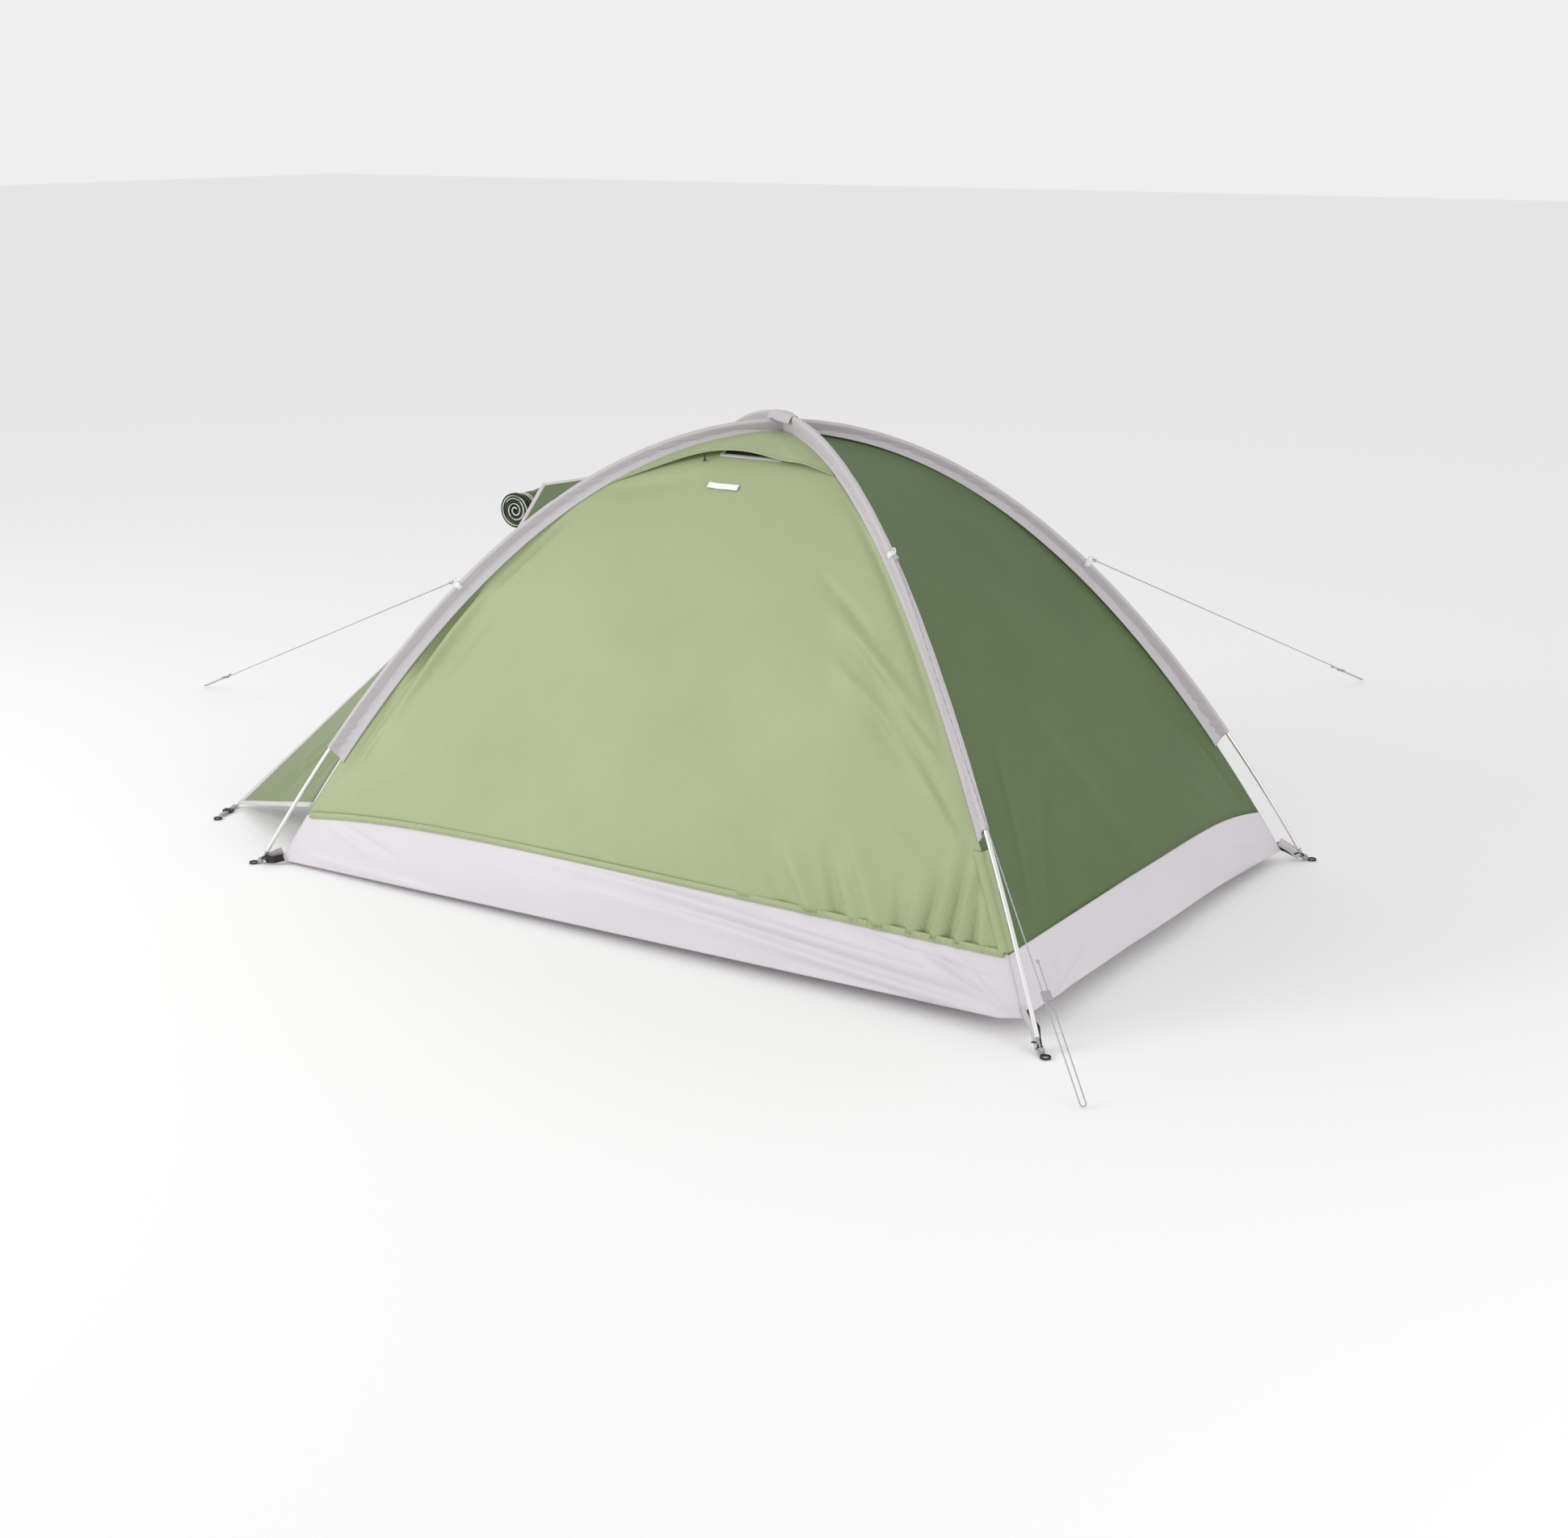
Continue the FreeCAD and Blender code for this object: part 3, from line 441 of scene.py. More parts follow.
def wall_points(side, s, t, lift):
    out, across, half, half_across = SIDES[side]
    out, across = np.array(out, float), np.array(across, float)
    flat = out * (half * t)[..., None] + across * (half_across * s * t)[..., None]
    return flat + UP * (CROWN * (1 - t ** 2))[..., None] + wall_normal(side, t) * lift[..., None]


def wall_lift(side, s, t, folds, seed):
    """How far the cloth stands off its vault: slack, folds, and the valleys beside its sleeves."""
    half, half_across = SIDES[side][2:]
    a, b = s * t * half_across, profile_length(t, half)
    lift = slack(a, b, seed)
    for start, end, width, depth, *rooted in folds:
        ends = [(x, float(profile_length(height_t(z), half))) for x, z in (start, end)]
        lift = lift + crease(a, b, ends[0], ends[1], width, depth, bool(rooted))
    for hand, deep, wide, top, low in VALLEYS.get(side, ()):
        beside = (1 - hand * s) * t * half_across
        window = np.clip((t - top) / 0.12, 0, 1) * np.clip((low - t) / 0.12, 0, 1)
        lift = lift - deep * window * np.exp(-((beside - wide) / wide) ** 2) * (hand * s > 0)
    return lift


def wall_grid(side, columns, rows, top, bottom, folds, seed, belly=0.0):
    """The lifted points of a wall between two heights, with flat coordinates for its cloth."""
    s, v = np.meshgrid(np.linspace(-1, 1, columns), np.linspace(0, 1, rows), indexing="ij")
    t = top(s) + (bottom(s) - top(s)) * v
    half, half_across = SIDES[side][2:]
    edge = np.clip((1 - np.abs(s)) / 0.03, 0, 1) * np.clip(v / 0.04, 0, 1)
    lift = wall_lift(side, s, t, folds, seed) + belly * np.sin(math.pi * v) * (1 - s ** 2)
    points = wall_points(side, s, t, lift * edge)
    return points, np.stack([s * t * half_across, profile_length(t, half)], -1)


# %% [markdown]
# ### Where the folds lie
# The guy line's pull gives the steep folds beside the left sleeve. Opposite, the
# cloth is a little full along the sleeve, and at the bottom right it is
# gathered into the hem. The tub has long folds that run into its near corner.

# %% Fold lists, each as start, end, width and depth in metres
HEM_Z = 0.157            # height of the hem that folds stand on
GATHER_DEEPER = 1.5      # gathers are listed at two thirds of their depth


def hem_gathers(places, foot):
    """Folds that stand on the hem; each place is x, lean, height, width, depth."""
    return [((x, foot), (x + lean, foot + tall), wide, GATHER_DEEPER * deep, True)
            for x, lean, tall, wide, deep in places]


FRONT_FOLDS = [
    ((-0.570, 0.72), (-0.715, 0.46), 0.019, -0.021), ((-0.545, 0.70), (-0.75, 0.36), 0.020, 0.013),
    ((-0.64, 0.585), (-0.80, 0.29), 0.013, -0.013), ((-0.70, 0.47), (-0.82, 0.25), 0.010, 0.009),
    ((-0.74, 0.42), (-0.87, 0.20), 0.010, -0.008), ((-0.50, 0.67), (-0.66, 0.42), 0.026, -0.007),
    ((-0.40, 0.84), (-0.56, 0.66), 0.014, -0.008), ((-0.62, 0.63), (-0.77, 0.40), 0.010, 0.008),
    ((0.35, 0.75), (0.645, 0.55), 0.018, 0.010), ((0.41, 0.69), (0.68, 0.50), 0.013, -0.010),
    ((0.39, 0.64), (0.58, 0.53), 0.016, 0.008), ((0.50, 0.63), (0.71, 0.47), 0.012, 0.009),
    ((0.46, 0.60), (0.64, 0.45), 0.014, -0.007), ((0.58, 0.545), (0.76, 0.38), 0.010, -0.006),
    ((0.30, 0.80), (0.48, 0.69), 0.014, -0.006), ((0.62, 0.50), (0.79, 0.33), 0.010, 0.006),
    ((0.60, 0.36), (0.74, 0.26), 0.02, 0.004), ((0.20, 0.40), (0.52, 0.22), 0.03, -0.003),
    ((-0.33, 0.90), (-0.10, 0.955), 0.02, -0.007), ((-0.86, 0.17), (-0.62, 0.30), 0.020, 0.003)]
FRONT_FOLDS += hem_gathers(
    [(0.30, -0.05, 0.10, 0.020, 0.003), (0.40, -0.09, 0.12, 0.016, -0.004),
     (0.47, -0.12, 0.15, 0.016, 0.008), (0.53, -0.06, 0.15, 0.012, -0.007),
     (0.575, -0.08, 0.12, 0.012, 0.005), (0.63, -0.12, 0.19, 0.017, 0.009),
     (0.675, -0.02, 0.13, 0.010, -0.006), (0.705, 0.01, 0.15, 0.010, 0.007),
     (0.735, 0.02, 0.17, 0.009, -0.007), (0.76, 0.015, 0.20, 0.010, 0.008),
     (0.79, 0.015, 0.22, 0.009, -0.008), (0.815, 0.005, 0.20, 0.009, 0.008),
     (0.845, -0.01, 0.17, 0.008, -0.007), (0.87, -0.03, 0.13, 0.008, 0.005)], HEM_Z)
RIGHT_FOLDS = [((-0.50, 0.17), (-0.33, 0.50), 0.010, 0.003), ((-0.44, 0.17), (-0.22, 0.40), 0.014, -0.003),
               ((-0.20, 0.62), (0.02, 0.16), 0.03, 0.003), ((0.40, 0.50), (0.52, 0.22), 0.012, 0.004),
               ((0.45, 0.42), (0.57, 0.16), 0.010, -0.004), ((0.30, 0.30), (0.50, 0.14), 0.012, 0.003)]
BACK_FOLDS = [((x, HEM_Z), (x + lean, HEM_Z + tall), 0.014, deep, True)
              for x, lean, tall, deep in ((-0.86, 0.02, 0.14, 0.006), (-0.80, 0.0, 0.18, -0.006),
                                          (-0.74, -0.02, 0.15, 0.006), (0.74, 0.02, 0.15, 0.006),
                                          (0.80, 0.0, 0.18, -0.006), (0.86, -0.02, 0.14, 0.006))]
BACK_FOLDS += [((-0.60, 0.66), (-0.76, 0.36), 0.016, 0.007), ((0.56, 0.70), (0.74, 0.38), 0.016, -0.007),
               ((0.50, 0.62), (0.66, 0.40), 0.016, 0.005)]
TUB_FOLDS = {
    "front": [((-0.32, 0.140), (0.50, 0.122), 0.010, 0.004), ((0.02, 0.132), (0.90, 0.085), 0.011, 0.008),
              ((0.10, 0.112), (0.93, 0.060), 0.010, -0.007), ((-0.15, 0.100), (0.72, 0.075), 0.013, 0.005),
              ((0.25, 0.085), (0.95, 0.040), 0.010, 0.007), ((0.40, 0.060), (0.97, 0.025), 0.009, -0.005),
              ((0.50, 0.145), (0.93, 0.105), 0.008, -0.005), ((0.66, 0.148), (0.97, 0.045), 0.007, 0.004),
              ((0.74, 0.150), (0.98, 0.030), 0.006, -0.004), ((0.80, 0.150), (0.985, 0.028), 0.006, 0.004),
              ((-0.88, 0.115), (-0.72, 0.060), 0.008, 0.003), ((-0.84, 0.12), (-0.64, 0.07), 0.008, -0.003),
              ((-0.95, 0.035), (-0.50, 0.02), 0.010, 0.005)],
    "right": [((-0.60, 0.040), (-0.46, 0.150), 0.008, 0.006), ((-0.61, 0.030), (-0.38, 0.140), 0.009, -0.006),
              ((-0.62, 0.020), (-0.28, 0.110), 0.010, 0.007), ((-0.56, 0.020), (-0.10, 0.045), 0.010, -0.006),
              ((-0.40, 0.020), (0.20, 0.050), 0.012, 0.004), ((0.36, 0.100), (0.62, 0.040), 0.012, 0.005),
              ((0.30, 0.050), (0.62, 0.020), 0.010, -0.005)],
    "back": [((-0.90, 0.05), (-0.10, 0.12), 0.012, 0.005), ((0.10, 0.11), (0.92, 0.05), 0.012, -0.005),
             ((0.30, 0.14), (0.95, 0.09), 0.010, 0.005), ((-0.95, 0.03), (-0.40, 0.05), 0.010, -0.004)],
    "left": [((-0.58, 0.04), (-0.30, 0.13), 0.010, 0.005), ((0.30, 0.12), (0.60, 0.05), 0.010, -0.005)]}


# side: hand, depth, distance from the seam, and where it starts and ends down the wall
VALLEYS = {"front": ((-1, 0.009, 0.020, 0.40, 0.86), (1, 0.005, 0.016, 0.30, 0.75)),
           "right": ((1, 0.004, 0.020, 0.35, 0.80),),
           "back": ((-1, 0.006, 0.020, 0.40, 0.80), (1, 0.006, 0.020, 0.40, 0.80))}


# %% Build the walls
NEAR_CROWN = 0.012
GRIDS = {"front": (260, 150), "right": (170, 120), "back": (170, 100), "left": (170, 120)}
WALL_CLOTH = {"front": sage_nylon, "back": sage_nylon, "left": olive_nylon, "right": olive_nylon}
WALL_FOLDS = {"front": FRONT_FOLDS, "right": RIGHT_FOLDS, "back": BACK_FOLDS, "left": []}


def canopy_wall(side, seed):
    columns, rows = GRIDS[side]
    points, uv = wall_grid(side, columns, rows, lambda s: NEAR_CROWN + 0 * s,
                           lambda s: height_t(seam_height(side, s)), WALL_FOLDS[side], seed)
    return grid_piece("canopy_cloth_" + side, points, WALL_CLOTH[side], uv)


def tub_side(side, seed):
    columns, rows = GRIDS[side][0], 36
    points, uv = wall_grid(side, columns, rows, lambda s: height_t(seam_height(side, s)),
                           lambda s: height_t(bottom_height(side, s)), TUB_FOLDS[side], seed, 0.005)
    return grid_piece("tub_cloth_" + side, points, tub_oxford, uv, 0.0012)


WALL_SEEDS = {side: 11 + number for number, side in enumerate(SIDES)}
TUB_SEEDS = {side: 31 + number for number, side in enumerate(SIDES)}

walls = {}
for side in SIDES:
    walls[side] = canopy_wall(side, WALL_SEEDS[side])
    tub = tub_side(side, TUB_SEEDS[side])
    on_tent(walls[side], tub)
    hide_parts("canopy_" + side)
    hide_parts("tub_wall_" + side)
    half, half_across = SIDES[side][2:]
    foot = float(profile_length(1.0, half))

# %% Floor sheet
floor_x, floor_y = HALF_X - 0.002, HALF_Y - 0.002
gx, gy = np.meshgrid(np.linspace(-floor_x, floor_x, 140), np.linspace(-floor_y, floor_y, 100), indexing="ij")
edge_lift = floor_lift(gx, gy)
shrink = height_t(edge_lift)
floor_ripple = 0.0006 * np.sin(gx * 23 + 2 * np.sin(gy * 9)) ** 2
floor_points = np.stack([gx * shrink, gy * shrink, edge_lift + floor_ripple], -1)
floor_sheet = grid_piece("floor_cloth", floor_points, tub_oxford, np.stack([gx, gy], -1), 0.001)
on_tent(floor_sheet)
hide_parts("tub_floor")

# %% [markdown]
# ## Pole sleeves
# A sleeve is one strip of pale polyester folded over the pole and stitched to
# the canopy seam, so what shows is a round edge with the pole in it and a flat
# double fin below. It is made as one cross-section, a loop with a long tail,
# carried along the pole's arch. The fin's depth is worked out where it meets
# the canopy, so that the seam closes all the way down.

# %% Sleeve cross-section and sweep
def fin_depth(pole, seam, r):
    """How far the canopy seam lies inside the pole's line, measured square to it."""
    low, high = np.zeros_like(r), np.full_like(r, 0.12)
    nx, nz = pole.normal(r) @ pole.out, pole.normal(r) @ UP
    z = pole.crown * (1 - (r / pole.reach) ** 2)
    for _ in range(40):
        d = (low + high) / 2
        above = z - nz * d - seam.crown * (1 - ((r - nx * d) / seam.reach) ** 2)
        low, high = np.where(above > 0, d, low), np.where(above > 0, high, d)
    return d


SLEEVE_ENDS = {"front_left": (1.078, 1.087), "front_right": (1.014, 1.022),
               "back_right": (1.054, 1.062), "back_left": (1.046, 1.055)}    # at the pole, at the canopy
CLIP_R = {"front_left": 0.756, "back_right": 0.705, "front_right": 0.575, "back_left": 0.575}
SEAM_R = (0.30, 0.52)     # where the strip's lengths are joined
SEAM_LIFT = 0.0024        # how far the sleeve's edge stands off the wall
HEM_WIDE = {"front_left": 0.012, "back_right": 0.012, "front_right": 0.002, "back_left": 0.002}


def on_wall(corner, face, r, away, lift):
    """Points beside a corner seam, a distance away along the wall on its face side."""
    seam = seam_arch(corner)
    sx, sy = CORNERS[corner]
    turn_y = (seam.side * face)[1] * sy
    side = ("front" if sy < 0 else "back") if turn_y < 0 else ("right" if sx > 0 else "left")
    out, across, half, half_across = SIDES[side]
    out, across = np.array(out, float), np.array(across, float)
    sign = np.sign(seam.out @ across)
    t = r / CANOPY_REACH
    away, lift = np.broadcast_to(away, r.shape), np.broadcast_to(lift, r.shape)
    flat = out * (half * t)[:, None] + across * (sign * (half_across * t - away))[:, None]
    return flat + UP * (CROWN * (1 - t ** 2))[:, None] + wall_normal(side, t) * lift[:, None]


def pinch_at(r, places, width=0.006):
    return sum(np.exp(-((r - p) / width) ** 2) for p in places)


def sleeve(corner, seed):
    """Both faces of the folded strip, running straight from the pole down to the canopy."""
    pole, seam = pole_arch(corner), seam_arch(corner)
    share = np.linspace(0, 1, 420)
    tails = np.linspace(0.0, 1.0, 14)
    turn = np.linspace(math.radians(8), math.radians(172), 13)
    lower = corner not in UPPER_POLE
    at_pole, at_seam = SLEEVE_ENDS[corner]

    def face_column(face, q):
        r = (at_pole + (at_seam - at_pole) * q) * share
        joins = pinch_at(r + 0.02 * q, SEAM_R) + pinch_at(r, [CLIP_R[corner]], 0.005)
        depth = fin_depth(pole, seam, r)
        r_seam = np.maximum(r - depth * (pole.normal(r) @ pole.out), 0.0)
        hem = HEM_WIDE[corner] * np.clip(r_seam / 0.12, 0, 1)
        top = pole.point(r) + pole.side * (face * SLEEVE_OUT)
        low = on_wall(corner, face, r_seam, hem, SEAM_LIFT)
        sag = math.sin(math.pi * q)
        ripple = 0.0004 * np.sin(r * 47 + 4 * np.sin(r * 13 + seed) + q * 5)
        near_end = np.clip((r - at_seam + 0.12) / 0.05, 0, 1)
        pucker = 0.0014 * np.sin(r * 330 + q * 4 + 2 * np.sin(r * 90)) * near_end
        high = 0.0009 * np.sin(r * 110 + q * 9) * np.exp(-((r - 0.24) / 0.10) ** 2) * lower
        mid = 0.0012 * np.sin(r * 170 + q * 7) * np.exp(-((r - 0.50) / 0.08) ** 2)
        puff = (0.0010 + ripple + pucker + high + mid - 0.0016 * joins) * sag
        return top + (low - top) * q + pole.side * (face * puff)[:, None]

    columns = [face_column(1, q) for q in tails[::-1]]
    for a in turn:
        r = at_pole * share
        swell = 1 + 0.02 * np.sin(r * 83 + seed) - 0.05 * pinch_at(r, SEAM_R)
        columns.append(pole.point(r) + pole.normal(r) * (math.sin(a) * SLEEVE_OUT * swell)[:, None]
                       + pole.side * (math.cos(a) * SLEEVE_OUT * swell)[:, None])
    columns += [face_column(-1, q) for q in tails]
    return grid_piece("sleeve_cloth_" + corner, np.stack(columns, 0), sleeve_polyester, None, 0.0008)


for number, corner in enumerate(CORNERS):
    piece = sleeve(corner, 50 + number)
    on_tent(piece)
    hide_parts("sleeve_" + corner)

# %% [markdown]
# ### Stitching
# A line of lockstitch holds each sleeve to the canopy. Real stitches are 3 mm
# long; they are drawn at 6 mm, as short bars of thread.

# %% Stitch lines
thread = moulded("pale_polyester_thread", "#b9b4b8", 0.7)


STITCH_STEP, STITCH_SHARE, THREAD_RADIUS = 0.006, 0.62, 0.0005


def stitches(name, path, outward):
    """Short bars of thread along a path, one mesh for the whole line."""
    run = run_lengths(path[:, None], 0)[:, 0]
    at = np.arange(STITCH_STEP, run[-1] - STITCH_STEP, STITCH_STEP)
    starts, ends = (read_along(path, run, at + d) for d in (0, STITCH_STEP * STITCH_SHARE))
    verts, faces = [], []
    for a, b, o in zip(starts, ends, read_along(outward, run, at)):
        side = unit(np.cross(unit(b - a), o)) * THREAD_RADIUS
        lift = unit(o) * THREAD_RADIUS
        base = len(verts)
        for p, squeeze in ((a, 0.5), (a * 0.7 + b * 0.3, 1.0), (a * 0.3 + b * 0.7, 1.0), (b, 0.5)):
            verts += [p + (side + lift * 0.2) * squeeze, p + lift * squeeze * 1.4,
                      p - (side - lift * 0.2) * squeeze, p - lift * squeeze]
        for k in range(3):
            for j in range(4):
                n = (j + 1) % 4
                row = base + 4 * k
                faces.append((row + j, row + n, row + 4 + n, row + 4 + j))
        faces += [tuple(base + j for j in (3, 2, 1, 0)), tuple(base + 12 + j for j in (0, 1, 2, 3))]
    line = mesh_piece(name, verts, faces, [(0, 0)] * len(verts), thread)
    on_tent(line)


for corner in CORNERS:
    pole, seam = pole_arch(corner), seam_arch(corner)
    r = np.linspace(0.03, SLEEVE_ENDS[corner][1] - 0.004, 420)
    depth = fin_depth(pole, seam, r)
    r_seam = r - depth * (pole.normal(r) @ pole.out)
    for face in (1, -1):
        top = pole.point(r) + pole.side * (face * SLEEVE_OUT)
        low = on_wall(corner, face, r_seam, HEM_WIDE[corner] * np.clip(r_seam / 0.12, 0, 1), SEAM_LIFT)
        path = top + (low - top) * 0.91 + pole.side * (face * 0.0009)
        stitches("sleeve_stitches_%s_%s" % (corner, "ab"[face > 0]), path,
                 np.tile(pole.side * face, (len(r), 1)))

# %% [markdown]
# Where the front right sleeve ends, the corner seam shows. A strip of the
# canopy's own cloth covers it down to the tub, so the raw edges don't fray. The
# front and back walls end in a hem band just above the tub.

# %% Corner facing and hem bands
def corner_strip(name, corner, r, width, lift, material):
    """A strip folded over a corner seam, lying on the walls at its two sides."""
    away = (0.25, 0.5, 0.75, 1.0)
    rows = [on_wall(corner, -1, r, width * q, lift * (1 - 0.5 * q ** 4)) for q in away[::-1]]
    rows.append(seam_arch(corner).point(r, lift * 1.2))
    rows += [on_wall(corner, 1, r, width * q, lift * (1 - 0.5 * q ** 4)) for q in away]
    on_tent(grid_piece(name, np.stack(rows, 0), material, None, 0.0012))


seam_z = float(seam_height("front", np.array(1.0)))
strip_foot = float(CANOPY_REACH * height_t(seam_z)) - 0.002
r = np.linspace(SLEEVE_ENDS["front_right"][1] - 0.02, strip_foot, 80)
corner_strip("corner_facing_front_right", "front_right", r, 0.021,
             0.0032 + 0.0008 * np.sin(r * 170), sage_nylon)


def along_wall(side, s, z, lift):
    """Points and normals along a line on one wall."""
    t = height_t(z)
    return wall_points(side, s, t, np.broadcast_to(lift, s.shape)), wall_normal(side, t)


def band(name, side, s, z, width, thick, material, lift, ripple):
    """A flat tape laid on a wall, hanging down from its line."""
    path, normal = along_wall(side, s, z, lift)
    heading = unit(np.gradient(path, axis=0))
    down = unit(np.cross(heading, normal))
    if down[len(s) // 2][2] > 0:
        down = -down
    path = path + normal * ripple[:, None]
    on_tent(swept(name, path, down, normal, tape_section(width, thick), material))


for side in ("front", "back"):
    s = np.linspace(-0.995, 0.995, 900)
    z = seam_height(side, s) + 0.007
    half, half_across = SIDES[side][2:]
    a = s * half_across
    edge = np.clip((1 - np.abs(s)) / 0.03, 0, 1) * 0.25
    shape = wall_lift(side, s, height_t(z), WALL_FOLDS[side], WALL_SEEDS[side]) * edge
    gathers = 0.0009 * np.sin(a * 760 + 3 * np.sin(a * 61)) + 0.0005 * np.sin(a * 410)
    gathers = gathers * (0.2 + 1.1 * np.clip((np.abs(s) - 0.35) / 0.4, 0, 1))
    band("hem_band_" + side, side, s, z, 0.015, 0.0012, WALL_CLOTH[side], 0.0030,
         np.maximum(shape + gathers, 0.0))
    path, normal = along_wall(side, s, z - 0.0115, 0.0046)
    stitches("hem_stitches_" + side, path + normal * shape[:, None], normal)

# %% [markdown]
# ## Crown
# The sleeve of the upper pole crosses over the other one, so a patch of sleeve
# cloth is drawn over both and creased where it is pulled down at the sides.

# %% Crown patch
u, v = np.meshgrid(np.linspace(-1, 1, 61), np.linspace(-1, 1, 41), indexing="ij")
upper = pole_arch("back_left")
patch_long, patch_wide = 0.062, 0.030
over_upper = SLEEVE_OUT + 0.0002 + 0.0016 * (1 - u ** 4)
profile = np.sqrt(np.clip(1 - (v * 1.25) ** 2, 0, 1))
creased = 0.0012 * np.sin(v * 7 + u * 5) * np.abs(v) * np.abs(u) ** 0.5
pulled = 0.018 * np.clip(np.abs(v) - 0.42, 0, 1) * (1 - 0.5 * np.exp(-(u * 2.4) ** 2))
height = (CROWN_B + over_upper * profile - pulled
          - CROWN_B * (patch_long * u / POLE_REACH) ** 2 + creased + 0.0004)
narrowed = patch_wide * v * (0.55 + 0.45 * np.exp(-(u * 1.6) ** 2))
cap_points = (upper.out * (patch_long * u)[..., None] + upper.side * narrowed[..., None]
              + UP * height[..., None])
crown_patch = grid_piece("crown_cap_cloth", cap_points, sleeve_polyester, None, 0.0008)
on_tent(crown_patch)
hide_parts("crown_cap")

# %% [markdown]
# ## Vent hood, its mesh and its prop
# The hood is a fan of cloth sewn in with the two sleeves at the crown. Only its
# hemmed lower edge is free, and a little prop holds it off the wall so that air
# can leave through the mesh. The hem is stiff enough to stand by itself, so the
# hood is drawn open whether the prop stands or lies down.

# %% Hood
def front_height(y):
    return CROWN * (1 - (y / HALF_Y) ** 2)


def hood_surface(s, v, lift=0.0):
    """s runs between the two sleeves and v from the crown to the free edge."""
    drop = 0.145 + np.where(s > 0, 0.020 * s ** 2, 0.090 * np.abs(s) ** 3)
    y = -drop * v
    x = s * (HALF_X / HALF_Y) * drop * v * 0.985
    mouth = 0.021 * (1 - np.abs(s) ** 2.2) * (0.55 + 0.45 * np.exp(-((s + 0.35) / 0.42) ** 2))
    z = front_height(y) + 0.004 + mouth * v ** 2
    wave = 0.0015 * np.sin(s * 9 + 1.0) * v ** 2 + 0.0022 * np.exp(-((s - 0.15 - 0.5 * v) / 0.12) ** 2) * v
    return np.stack([x, y, z + wave + lift], -1)


s, v = np.meshgrid(np.linspace(-1, 1, 121), np.linspace(0.03, 1, 60), indexing="ij")
hood = grid_piece("hood_cloth", hood_surface(s, v), sage_nylon, None, 0.0010)
edge_s = np.linspace(-0.985, 0.985, 160)
edge = hood_surface(edge_s, np.ones_like(edge_s), 0.0003)
heading = unit(np.gradient(edge, axis=0))
inward = unit(hood_surface(edge_s, np.full_like(edge_s, 0.95)) - edge)
hood_hem = swept("hood_hem", edge - inward * 0.001, inward, unit(np.cross(inward, heading)) * -1,
                 tape_section(0.011, 0.0024), sage_nylon)
stitches("hood_stitches", edge + inward * 0.0075 + UP * 0.0018, np.tile(UP, (len(edge_s), 1)))
on_tent(hood, hood_hem)
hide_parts("vent_hood")
print("hood edge middle", hood_surface(np.array([0.0]), np.array([1.0])))

# %% [markdown]
# The vent is a real opening: the same box is taken out of the wall, and a tape
# is sewn round it over the mesh.

# %% Cut the vent and the doorway
VENT_BOX = (0.080, -0.135, -0.060)


def cutter(name, verts, faces):
    mesh = bpy.data.meshes.new(name)
    mesh.from_pydata(verts, [], faces)
    return placed(name, mesh)


def cut_from(piece, tool):
    """Subtract, then keep only the result."""
    bpy.context.view_layer.objects.active = piece
    step = piece.modifiers.new("opening", "BOOLEAN")
    step.operation, step.solver, step.object = "DIFFERENCE", "EXACT", tool
    for name in [m.name for m in piece.modifiers]:
        bpy.ops.object.modifier_apply(modifier=name)
    bpy.data.objects.remove(tool)


half, far, near = VENT_BOX
corners = [(x, y, z) for x in (-half, half) for y in (far, near) for z in (0.5, 1.2)]
box_faces = [(0, 1, 3, 2), (4, 6, 7, 5), (0, 4, 5, 1), (2, 3, 7, 6), (0, 2, 6, 4), (1, 5, 7, 3)]
cut_from(walls["front"], cutter("vent_cutter", corners, box_faces))

DOOR_HALF, DOOR_SILL_Z, DOOR_TOP_Z = 0.320, 0.162, 0.650
shoulder = DOOR_SILL_Z + (DOOR_TOP_Z - DOOR_SILL_Z) * 0.45
rise = DOOR_TOP_Z - shoulder
arc_radius = (DOOR_HALF ** 2 + rise ** 2) / (2 * rise)
sweep_angle = math.asin(DOOR_HALF / arc_radius)
outline = [(-DOOR_HALF, DOOR_SILL_Z), (DOOR_HALF, DOOR_SILL_Z)]
outline += [(arc_radius * math.sin(a), DOOR_TOP_Z - arc_radius * (1 - math.cos(a)))
            for a in np.linspace(sweep_angle, -sweep_angle, 33)]
count = len(outline)
verts = [(x, y, z) for x in (-1.2, -0.3) for y, z in outline]
faces = [tuple(range(count))[::-1], tuple(range(count, 2 * count))]
faces += [(i, (i + 1) % count, count + (i + 1) % count, count + i) for i in range(count)]
cut_from(walls["left"], cutter("doorway_cutter", verts, faces))

# %% Bindings round the openings
def hoop(name, path, aside, out, width, thick, around, material):
    """A tape along a closed path, lying with its flat side to out."""
    section = np.asarray(tape_section(width, thick, -width / 2))
    n, k = len(path), len(section)
    points = path[:, None] + aside[:, None] * section[None, :, :1] + out[:, None] * section[None, :, 1:]
    faces = [(i * k + j, i * k + (j + 1) % k, ((i + 1) % n) * k + (j + 1) % k, ((i + 1) % n) * k + j)
             for i in range(n) for j in range(k)]
    uv = np.stack(np.broadcast_arrays(np.linspace(0, 2 * width, k)[None, :],
                                      np.linspace(0, around, n)[:, None]), -1)
    piece = mesh_piece(name, points.reshape(-1, 3), faces, uv.reshape(-1, 2), material)
    on_tent(piece)
    return piece


